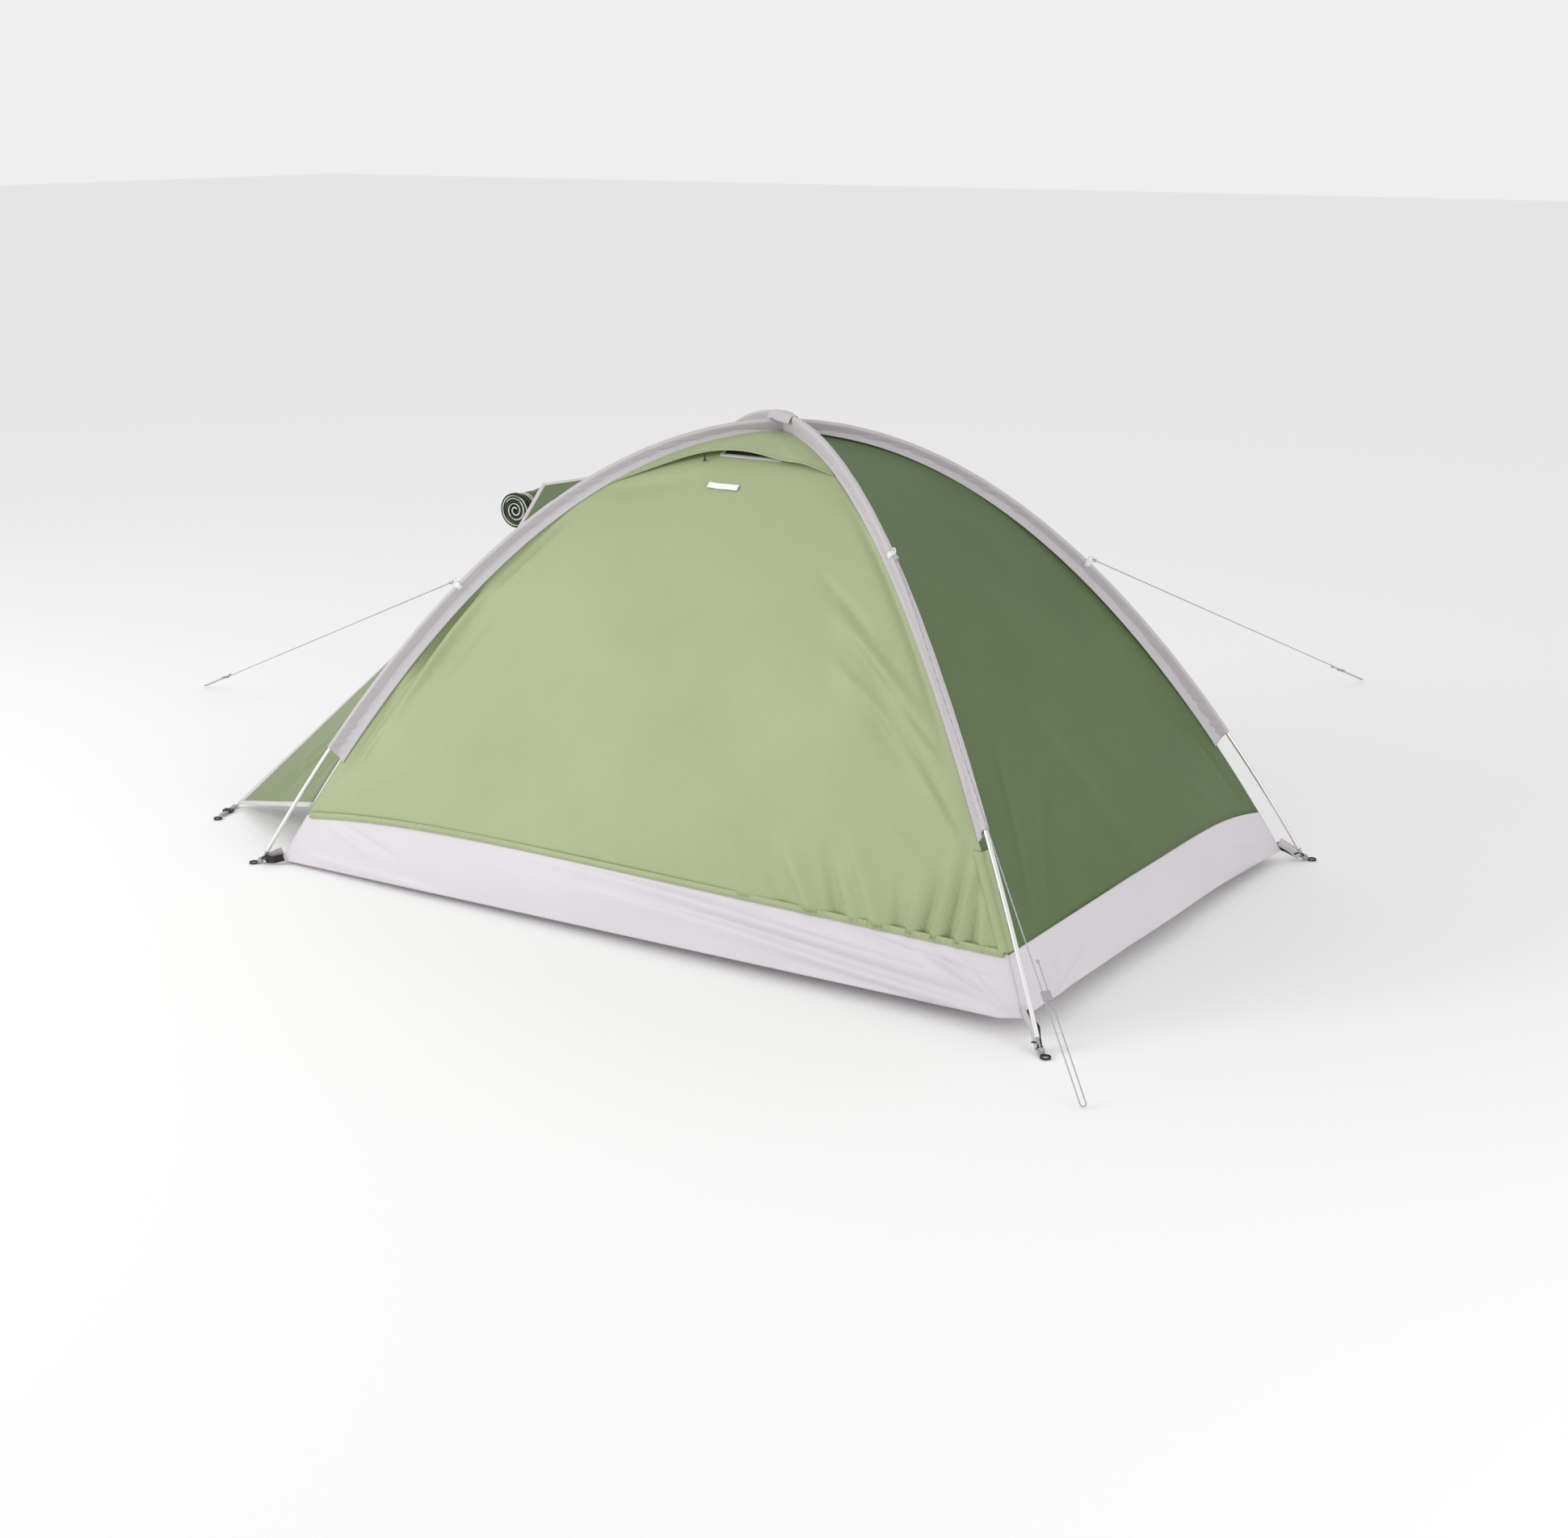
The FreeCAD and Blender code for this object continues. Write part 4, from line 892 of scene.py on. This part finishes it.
def closed_band(name, side, loop, width, thick, material):
    """A tape along a closed loop of (across, height) on one wall."""
    loop = np.asarray(loop, float)
    out, across, half, half_across = SIDES[side]
    z = loop[:, 1]
    t = height_t(z)
    out, across = np.array(out, float), np.array(across, float)
    normal = wall_normal(side, t)
    path = out * (half * t)[:, None] + across * loop[:, :1] + UP * z[:, None] + normal * 0.0011
    heading = unit(np.roll(path, -1, 0) - np.roll(path, 1, 0))
    aside = unit(np.cross(normal, heading))
    middle = path.mean(0)
    if ((path - middle) * aside).sum() < 0:
        aside = -aside
    hoop(name, path, aside, normal, width, thick, 3, material)


def spread(points, step):
    """Even points along a closed outline."""
    points = np.asarray(list(points) + [points[0]], float)
    run = run_lengths(points[:, None], 0)[:, 0]
    return read_along(points, run, np.linspace(0, run[-1], int(run[-1] / step), endpoint=False))


vent_loop = spread([(-half, front_height(near)), (half, front_height(near)), (half, front_height(far)),
                    (-half, front_height(far))], 0.004)
closed_band("vent_binding", "front", vent_loop, 0.010, 0.0018, binding_tape)
NET_MARGIN = 0.006     # the net reaches this far under its binding
x, y = np.meshgrid(np.linspace(-half - NET_MARGIN, half + NET_MARGIN, 40),
                   np.linspace(far - NET_MARGIN, near + NET_MARGIN, 24), indexing="ij")
net_sag = 0.0015 * np.cos(x / half * 1.4) * np.cos((y - (far + near) / 2) / (near - far) * 2.6)
net = grid_piece("vent_net", np.stack([x, y, front_height(y) - 0.0016 - net_sag], -1), mesh_net, None, 0.0006)
on_tent(net)
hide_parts("vent_mesh")
door_loop = spread([(-y, z) for y, z in outline], 0.012)
closed_band("doorway_binding", "left", door_loop, 0.016, 0.0022, binding_tape)

# %% Inner mesh door, rolled behind the sill
roll_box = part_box("inner_door_roll")
roll_axis = [(roll_box[0][k] + roll_box[1][k]) / 2 for k in (0, 2)]
roll_radius = (roll_box[1][2] - roll_box[0][2]) / 2


ROLL_SQUASH = 0.96     # a roll lies a little flat


def rolled(name, centre, radius, y0, y1, turns, material, seed, squeezes=()):
    """A sheet rolled on itself round a line along Y; ties squeeze it at chosen places."""
    angle = np.linspace(0, turns * math.tau, int(turns * 26))
    y = np.linspace(y0, y1, 90)
    a, yy = np.meshgrid(angle, y, indexing="ij")
    share = a / a.max()
    pinch = 1 - sum(0.16 * np.exp(-((yy - at) / 0.02) ** 2) for at in squeezes)
    size = radius * (0.42 + 0.55 * share) * pinch
    size = size * (1 + 0.035 * np.sin(yy * 55 + a * 0.5 + seed) * share + 0.02 * np.sin(yy * 131 + a * 1.5))
    points = np.stack([centre[0] + size * np.cos(a), yy + 0.004 * np.sin(a * 2 + seed) * share,
                       centre[1] + size * np.sin(a) * ROLL_SQUASH], -1)
    return grid_piece(name, points, material, None, 0.0012)


inner_roll = rolled("inner_door_cloth", roll_axis, roll_radius, roll_box[0][1], roll_box[1][1], 3.5,
                    mesh_net, 2)
on_tent(inner_roll)
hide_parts("inner_door_roll")

# %% Label
label_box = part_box("label_patch")
lx = (label_box[0][0] + label_box[1][0]) / 2
ly = (label_box[0][1] + label_box[1][1]) / 2
u, v = np.meshgrid(np.linspace(-0.040, 0.040, 30), np.linspace(-0.0075, 0.0075, 10), indexing="ij")
slope = math.atan(2 * CROWN * -ly / HALF_Y ** 2)
label_y = ly + v * math.cos(slope)
normal = np.array([0, -math.sin(slope), math.cos(slope)])
label_points = np.stack([lx + u, label_y, front_height(label_y)], -1)
lift = 0.0022 + 0.0014 * (u / 0.04) ** 2 + 0.0006 * np.sin(u * 120)
label = grid_piece("label_cloth", label_points + normal * lift[..., None], label_cloth, None, 0.0010)
on_tent(label)
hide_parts("label_patch")

# %% [markdown]
# ## Porch
# The porch has a roof in two halves, an upright front edge under it, and two
# wings that zip along their outer edges. All of these are cut flat, so each is
# stretched between two straight or curved edges, and the pull shows as folds
# that run between the corners. Every raw edge is bound in pale tape.

# %% Porch corners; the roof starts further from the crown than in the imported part
PORCH_TIP = np.array([-0.734, 0.0, 0.758])
BROW_TIP = np.array([-0.713, 0.0, 0.851])
RIDGE_START = np.array([-0.330, 0.0, 0.927])
STAKE = np.array([-1.438, -0.405, 0.005])
WING_TOP_R, WING_LOW_R, ROOF_TOP_R = 0.660, 1.134, 0.420
MIRROR = np.array([1.0, -1.0, 1.0])
left_seam = seam_arch("front_left")
aside = left_seam.side if left_seam.side[0] < 0 else -left_seam.side


def porch_seam(r, lift=0.006):
    return left_seam.point(r) + aside * 0.003 + UP * lift


def bound(name, path, into, out, width):
    """A hem tape along a free edge; into points from the edge across the cloth."""
    on_tent(swept(name, path, into, out, tape_section(width, 0.0024, -0.001), binding_tape))


def panel(edge_a, edge_b, columns, rows, bulge, folds, seed):
    """Ruled sheet between two edges, with its folds and a little slack."""
    a, b = edge_a(np.linspace(0, 1, columns)), edge_b(np.linspace(0, 1, columns))
    w = np.linspace(0, 1, rows)[None, :, None]
    points = a[:, None] * (1 - w) + b[:, None] * w
    normal = unit(np.cross(b[-1] - a[0], a[-1] - b[0]))
    u, q = np.meshgrid(np.linspace(0, 1, columns), np.linspace(0, 1, rows), indexing="ij")
    inside = np.sin(math.pi * np.clip(u, 0, 1)) ** 0.5 * np.sin(math.pi * q) ** 0.5
    lift = bulge * np.sin(math.pi * q) * np.sin(math.pi * u)
    for start, end, width, depth in folds:
        lift = lift + crease(u, q, start, end, width, depth) * inside
    lift = lift + slack(u * 0.8, q * 0.8, seed, 0.002) * inside
    return points, normal, lift


wing_top, wing_low = porch_seam(np.array(WING_TOP_R)), porch_seam(np.array(WING_LOW_R))
zip_top = PORCH_TIP + unit(wing_top - PORCH_TIP) * 0.008
zip_low = STAKE + unit(wing_low - STAKE) * 0.008
WING_FOLDS = [((0.30, 0.95), (0.98, 0.25), 0.030, 0.006), ((0.45, 0.98), (0.99, 0.45), 0.025, -0.007),
              ((0.62, 0.99), (0.97, 0.62), 0.022, 0.008), ((0.75, 0.98), (0.98, 0.75), 0.018, -0.007),
              ((0.05, 0.55), (0.55, 0.90), 0.035, 0.004), ((0.80, 0.30), (0.99, 0.92), 0.020, 0.005)]


def wing(name, flip):
    points, normal, lift = panel(lambda q: zip_top + (zip_low - zip_top) * q[:, None],
                                 lambda q: porch_seam(WING_TOP_R + (WING_LOW_R - WING_TOP_R) * q),
                                 110, 60, -0.004, WING_FOLDS, 7)
    if normal[0] > 0:
        normal = -normal
    points = (points + normal * (lift + 0.001)[..., None])
    bottom, bottom_in = points[-1], unit(points[-8] - points[-1])
    edge, edge_in = points[:, 0], unit(points[:, 6] - points[:, 0])
    top, top_in = points[0], unit(points[8] - points[0])
    if flip:
        points = points[:, ::-1]
    turn = MIRROR if flip else np.ones(3)
    # Painted shade: the wing cloth is the sage darkened for the shade the wings stand in.
    cloth = grid_piece(name, points * turn, shade_darkened_wing_nylon, None, 0.0010)
    on_tent(cloth)
    out = normal * turn
    for part, line, into, wide in (("bottom", bottom, bottom_in, 0.015), ("zip", edge, edge_in, 0.028),
                                   ("top", top, top_in, 0.015)):
        bound("%s_%s_hem" % (name, part), line * turn + out * 0.0006, into * turn,
              np.tile(out, (len(line), 1)), wide)
    return cloth


front_wing = wing("wing_cloth_front", False)
back_wing = wing("wing_cloth_back", True)
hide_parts("porch_wing_front")
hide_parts("porch_wing_back")

# %% Roof halves and the upright edge under them
ROOF_FOLDS = [((0.20, 0.1), (0.95, 0.85), 0.05, 0.004), ((0.55, 0.05), (0.97, 0.5), 0.04, -0.005),
              ((0.75, 0.1), (0.98, 0.92), 0.03, 0.005)]


def roof_half(turn):
    points, normal, lift = panel(lambda q: RIDGE_START + (BROW_TIP - RIDGE_START) * q[:, None],
                                 lambda q: porch_seam(ROOF_TOP_R + (WING_TOP_R - ROOF_TOP_R) * q),
                                 80, 50, -0.006, ROOF_FOLDS, 5)
    if normal[2] < 0:
        normal = -normal
    return points * turn, normal * turn, lift


HALVES = ((np.ones(3), "front"), (MIRROR, "back"))
for turn, half_name in HALVES:
    points, normal, lift = roof_half(turn)
    points = points + normal * (lift + 0.002)[..., None]
    if half_name == "back":
        points = points[:, ::-1]
    piece = grid_piece("roof_cloth_" + half_name, points, olive_nylon, None, 0.0010)
    on_tent(piece)
    edge_line = points[-1] if half_name == "front" else points[-1][::-1]
    back_line = points[-7] if half_name == "front" else points[-7][::-1]
    bound("roof_hem_" + half_name, edge_line + normal * 0.0006, unit(back_line - edge_line),
          np.tile(normal, (len(edge_line), 1)), 0.015)
    first, second = (0, 4) if half_name == "front" else (-1, -5)
    ridge_line, next_line = points[:, first], points[:, second]
    bound("ridge_hem_" + half_name, ridge_line + normal * 0.0006, unit(next_line - ridge_line),
          np.tile(normal, (len(ridge_line), 1)), 0.013)
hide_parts("porch_roof")

for turn, half_name in HALVES:
    corner = wing_top * turn
    a = PORCH_TIP + np.array([0, -0.0015, 0.004]) * turn
    b = BROW_TIP + np.array([0, -0.0015, -0.004]) * turn
    q = np.linspace(0, 1, 40)
    w = np.linspace(0, 1, 16)
    low = a + (corner - a) * (q * 0.97)[:, None]
    high = b + (corner - b) * (q * 0.97)[:, None]
    points = low[:, None] * (1 - w)[None, :, None] + high[:, None] * w[None, :, None]
    out = unit(np.cross(b - a, corner - a))
    out = out if out[0] < 0 else -out
    ripple = 0.002 * np.sin(q * 9)[:, None] * np.sin(w * math.pi)[None, :]
    points = points + out * (ripple + 0.0008)[..., None]
    piece = grid_piece("brow_cloth_" + half_name, points, olive_nylon, None, 0.0010)
    on_tent(piece)
    if half_name == "front":
        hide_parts("porch_brow")
    for part, line, into in (("low", points[:, 0], unit(points[:, -1] - points[:, 0])),
                             ("high", points[:, -1], unit(points[:, 0] - points[:, -1]))):
        bound("brow_%s_hem_%s" % (part, half_name), line + out * 0.0005, into,
              np.tile(out, (len(line), 1)), 0.013)
    print(half_name, "brow from", a, "to", corner)

# %% [markdown]
# ## Rolled door
# The porch's door is unzipped, rolled up into a fat sausage and held by two
# pairs of ties. Its end shows the layers as rings.

# %% Door roll and ties
ROLL_CENTRE, ROLL_RADIUS = (-0.780, 0.785), 0.045
TIES = (0.002, 0.200)
door_roll = rolled("door_roll_cloth", ROLL_CENTRE, ROLL_RADIUS * 0.97, -0.030, 0.269, 4.5,
                   olive_nylon, 1.3, TIES)
on_tent(door_roll)
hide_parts("porch_door_roll")


def ring_round(name, y, radius, wide, thick, material, lean=0.0):
    """A tape that goes right round the roll."""
    turn = np.linspace(0, math.tau, 56, endpoint=False)
    out = np.stack([np.cos(turn), 0 * turn, np.sin(turn) * ROLL_SQUASH], -1)
    path = np.array([ROLL_CENTRE[0], y, ROLL_CENTRE[1]]) + out * radius
    path[:, 1] += lean * np.sin(turn)
    along = np.tile([0.0, 1.0, 0.0], (len(path), 1))
    return hoop(name, path, along, out, wide, thick, math.tau * radius, material)


tie_pieces = [ring_round("roll_tie_%d_%d" % (i, j), y + dy, ROLL_RADIUS * 0.90, 0.006, 0.0018,
                         binding_tape, 0.002)
              for i, y in enumerate(TIES) for j, dy in enumerate((-0.004, 0.004))]
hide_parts("roll_ties")
ring_round("roll_end_tape", -0.0250, ROLL_RADIUS * 0.955, 0.012, 0.004, black_elastic)
ring_round("roll_end_hem", -0.0302, ROLL_RADIUS * 0.86, 0.0025, 0.0028, label_cloth)

# The end is closed by a black disc, painted shade that stands for the dark hollow between the rolled layers,
# with the cloth's hem showing on it as a pale swirl.
END_Y = -0.0285
turn, share = np.meshgrid(np.linspace(0, math.tau, 49), np.linspace(0.02, 1, 14), indexing="ij")
radius = ROLL_RADIUS * 0.84 * share
dish = 0.0035 * np.sin(turn * 3 + share * 6) * share * (1 - share) + 0.005 * (1 - share)
roll_end_shade_disc = grid_piece("roll_end_painted_shade_disc", np.stack(
    [ROLL_CENTRE[0] + radius * np.cos(turn), END_Y + dish,
     ROLL_CENTRE[1] + radius * np.sin(turn) * ROLL_SQUASH], -1), black_elastic, None, 0.0006)
swirl = np.linspace(0.6, math.tau * 2.4, 90)
swirl_r = ROLL_RADIUS * (0.12 + 0.60 * (swirl / swirl.max()) ** 1.2)
swirl_line = tube_along("roll_end_swirl", np.stack(
    [ROLL_CENTRE[0] + swirl_r * np.cos(swirl), END_Y + 0 * swirl,
     ROLL_CENTRE[1] + swirl_r * np.sin(swirl) * ROLL_SQUASH], -1), 0.0016, label_cloth, 6)
on_tent(roll_end_shade_disc, swirl_line)

# %% [markdown]
# ## Webbing and ground fittings
# Each corner has a strap from the tub to a steel ring, where the pole's tip
# stands, and an elastic loop for the peg. The porch's two outer corners have a
# thinner strap with a ladder-lock buckle.

# %% Straps
def strap(name, path, width, thick, material=None, up=None, ripple=0.0):
    path = np.asarray(path, float)
    run = run_lengths(path[:, None], 0)[:, 0]
    at = np.linspace(0, run[-1], 40)
    path = read_along(path, run, at)
    up = UP if up is None else up
    heading = unit(np.gradient(path, axis=0))
    side = unit(np.cross(heading, up))
    lift = unit(np.cross(side, heading))
    path = path + lift * (ripple * np.sin(at / run[-1] * 9))[:, None]
    piece = swept(name, path, side, lift, tape_section(width, thick, -width / 2), material or grey_webbing)
    on_tent(piece)
    return piece


def knot(name, at, way, size, turns=2.5):
    """A few turns of cord pulled tight round itself."""
    way = unit(way)
    side = unit(np.cross(way, [0.2, 0.4, 0.9]))
    up = np.cross(way, side)
    a = np.linspace(0, turns * math.tau, 60)
    path = (np.asarray(at) + way * ((a / a.max() - 0.5) * size)[:, None]
            + side * (np.cos(a) * size * 0.30)[:, None] + up * (np.sin(a) * size * 0.34)[:, None])
    on_tent(tube_along(name, path, size * 0.24, guy_braid, 8))


RING_Z, RING_REACH = 0.009, 1.2475     # the strap's end in its ring: height, way out
STRAP_CLOTH = {"front_left": grey_webbing, "front_right": sleeve_polyester,
               "back_right": sleeve_polyester, "back_left": grey_webbing}
for corner, (sx, sy) in CORNERS.items():
    out = np.array([sx * ALONG, sy * ACROSS, 0.0])
    side = np.cross(out, UP)
    foot = float(floor_lift(sx * HALF_X, sy * HALF_Y))
    seam_r = CANOPY_REACH * float(height_t(foot))
    sewn = out * (seam_r - 0.004) + UP * (foot + 0.022)
    ring = out * RING_REACH + UP * (RING_Z + 0.001)
    middle = (sewn + ring) / 2 + out * 0.004
    strap("corner_strap_" + corner, [sewn, (sewn + middle) / 2, middle, ring],
                               0.020, 0.0022, STRAP_CLOTH[corner], side, 0.0008)
    low_sewn = out * (seam_r - 0.008) + UP * (foot + 0.010) - side * 0.012
    strap("corner_under_strap_" + corner,
          [low_sewn, (low_sewn + ring) / 2 - side * 0.012, ring - side * 0.006],
          0.018, 0.0020, black_elastic, side, 0.0006)
    for k, face in enumerate((-1, 1)):
        a = ring - out * 0.014 + side * (0.006 * face) + UP * 0.006
        b = ring + out * 0.010 - side * (0.005 * face) + UP * 0.003
        bow = [a + (b - a) * q + UP * 0.004 * math.sin(math.pi * q) for q in np.linspace(0, 1, 12)]
        on_tent(tube_along("corner_elastic_%s_%d" % (corner, k), bow, 0.0018, black_elastic, 8))
    knot("peg_knot_" + corner, ring + out * 0.014 - UP * 0.002, side, 0.012)
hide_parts("corner_straps")

STRAP_WAY = np.array([0.366, -0.931, 0.0])
for turn, half_name in HALVES:
    way = STRAP_WAY * turn
    start = (STAKE * np.array([1, 1, 0]) + np.array([0, 0, 0.004])) * turn
    path = [start + way * d for d in (0.002, 0.03, 0.06, 0.093)]
    strap("porch_strap_cloth_" + half_name, path, 0.015, 0.0018)
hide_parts("porch_straps")

# %% [markdown]
# ## Guy lines
# Three braided lines run from clips on the sleeves to the ground. Each is
# doubled round the spot where its peg would stand, and comes back through a
# tensioner, where it ends in a stopper knot. A pulled line is straight, so the
# points that shape it stand only at the two ends and close to the turn.

# %% Lay the guy lines
GUY_D = 0.0025
GUY_ROUTES = {
    "left": (2.421, [(-0.64475, -0.42221, 0.68787), (-2.43619, 0.43388, 0.00885), (-2.449, 0.44, 0.004),
                     (-2.45417, 0.42917, 0.004), (-2.44137, 0.42305, 0.00885), (-2.19806, 0.30678, 0.10108)]),
    "right": (2.524, [(0.59522, 0.40425, 0.73778), (0.56322, 2.48185, 0.00896), (0.563, 2.496, 0.004),
                      (0.551, 2.49581, 0.004), (0.55122, 2.48166, 0.00896), (0.55536, 2.21276, 0.1033)]),
    "near": (1.560, [(0.49081, -0.32761, 0.85823), (1.21325, -0.87339, 0.01423), (1.222, -0.88, 0.004),
                     (1.22923, -0.87043, 0.004), (1.22048, -0.86381, 0.01423), (1.05414, -0.73815, 0.20856)])}


def guy_line(name, route):
    shape = bpy.data.curves.new("guy_cord_" + name, "CURVE")
    shape.dimensions = "3D"
    line = shape.splines.new("NURBS")
    line.points.add(len(route) - 1)
    for point, place in zip(line.points, route):
        point.co = (*place, 1.0)
    line.order_u = 3
    line.use_endpoint_u = True
    shape.bevel_depth = GUY_D / 2
    shape.bevel_resolution = 4
    shape.resolution_u = 24
    shape.materials.append(guy_braid)
    piece = placed("guy_cord_" + name, shape)
    on_tent(piece)
    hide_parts("guy_line_" + name)


for name, (length, route) in GUY_ROUTES.items():
    guy_line(name, route)
    way = np.subtract(route[-1], route[-2])
    knot("guy_knot_" + name, np.array(route[-1]) - unit(way) * 0.003, way, 0.006)
    start_way = np.subtract(route[1], route[0])
    knot("clip_knot_" + name, np.array(route[0]) + unit(start_way) * 0.010, start_way, 0.008, 3.5)
    for slot in bpy.data.objects["tensioner_" + name].material_slots:
        slot.material = grey_acetal

# %% [markdown]
# ## Floor, light and camera
# A pale seamless floor, a large soft light from the front left, a weaker one low
# on the right, and a bright surrounding so that shadows stay light.

# %% Stage, light and camera
floor_mesh = bpy.data.meshes.new("studio_floor")
FLOOR_HALF, FLOOR_Z = 40, -0.0015
floor_corners = [(x * FLOOR_HALF, y * FLOOR_HALF, FLOOR_Z) for x, y in ((-1, -1), (1, -1), (1, 1), (-1, 1))]
floor_mesh.from_pydata(floor_corners, [], [(0, 1, 2, 3)])
floor_paint, floor_tree, floor_shader = blank("pale_matt_floor", "#f4f4f4", 0.9)
floor_grain = add(floor_tree, "ShaderNodeTexNoise", {}, {"Scale": 40.0, "Detail": 2.0})
floor_rough = add(floor_tree, "ShaderNodeMapRange", {}, {"Value": floor_grain.outputs["Fac"], "To Min": 0.85,
                                                          "To Max": 0.95})
floor_tree.links.new(floor_rough.outputs[0], floor_shader.inputs["Roughness"])
floor_mesh.materials.append(floor_paint)
studio_floor = placed("studio_floor", floor_mesh)


def point_at(made, place, aim):
    made.location = place
    made.rotation_euler = Vector(np.subtract(aim, place)).to_track_quat("-Z", "Y").to_euler()


def soft_light(name, place, aim, size, watts):
    lamp = bpy.data.lights.new(name, "AREA")
    lamp.shape, lamp.size, lamp.energy = "SQUARE", size, watts
    point_at(placed(name, lamp), place, aim)


soft_light("key_softbox", (-3.6, -4.2, 2.6), (0, 0, 0.4), 2.4, 120)
soft_light("right_softbox", (4.6, -1.9, 0.9), (0.7, 0, 0.25), 1.8, 40)

world = bpy.context.scene.world or bpy.data.worlds.new("studio")
bpy.context.scene.world = world
world.use_nodes = True
world.node_tree.nodes["Background"].inputs["Color"].default_value = (1.0, 1.0, 1.0, 1.0)
world.node_tree.nodes["Background"].inputs["Strength"].default_value = 0.86

CAMERA_PLACE, CAMERA_AIM = (2.84270, -4.34621, 1.75881), (0.0004, 0.0, 0.2326)
lens = bpy.data.cameras.new("camera")
lens.lens, lens.sensor_width = 52.065, 36.0
camera = placed("camera", lens)
point_at(camera, CAMERA_PLACE, CAMERA_AIM)
bpy.context.scene.camera = camera
bpy.context.scene.view_settings.view_transform = "Standard"
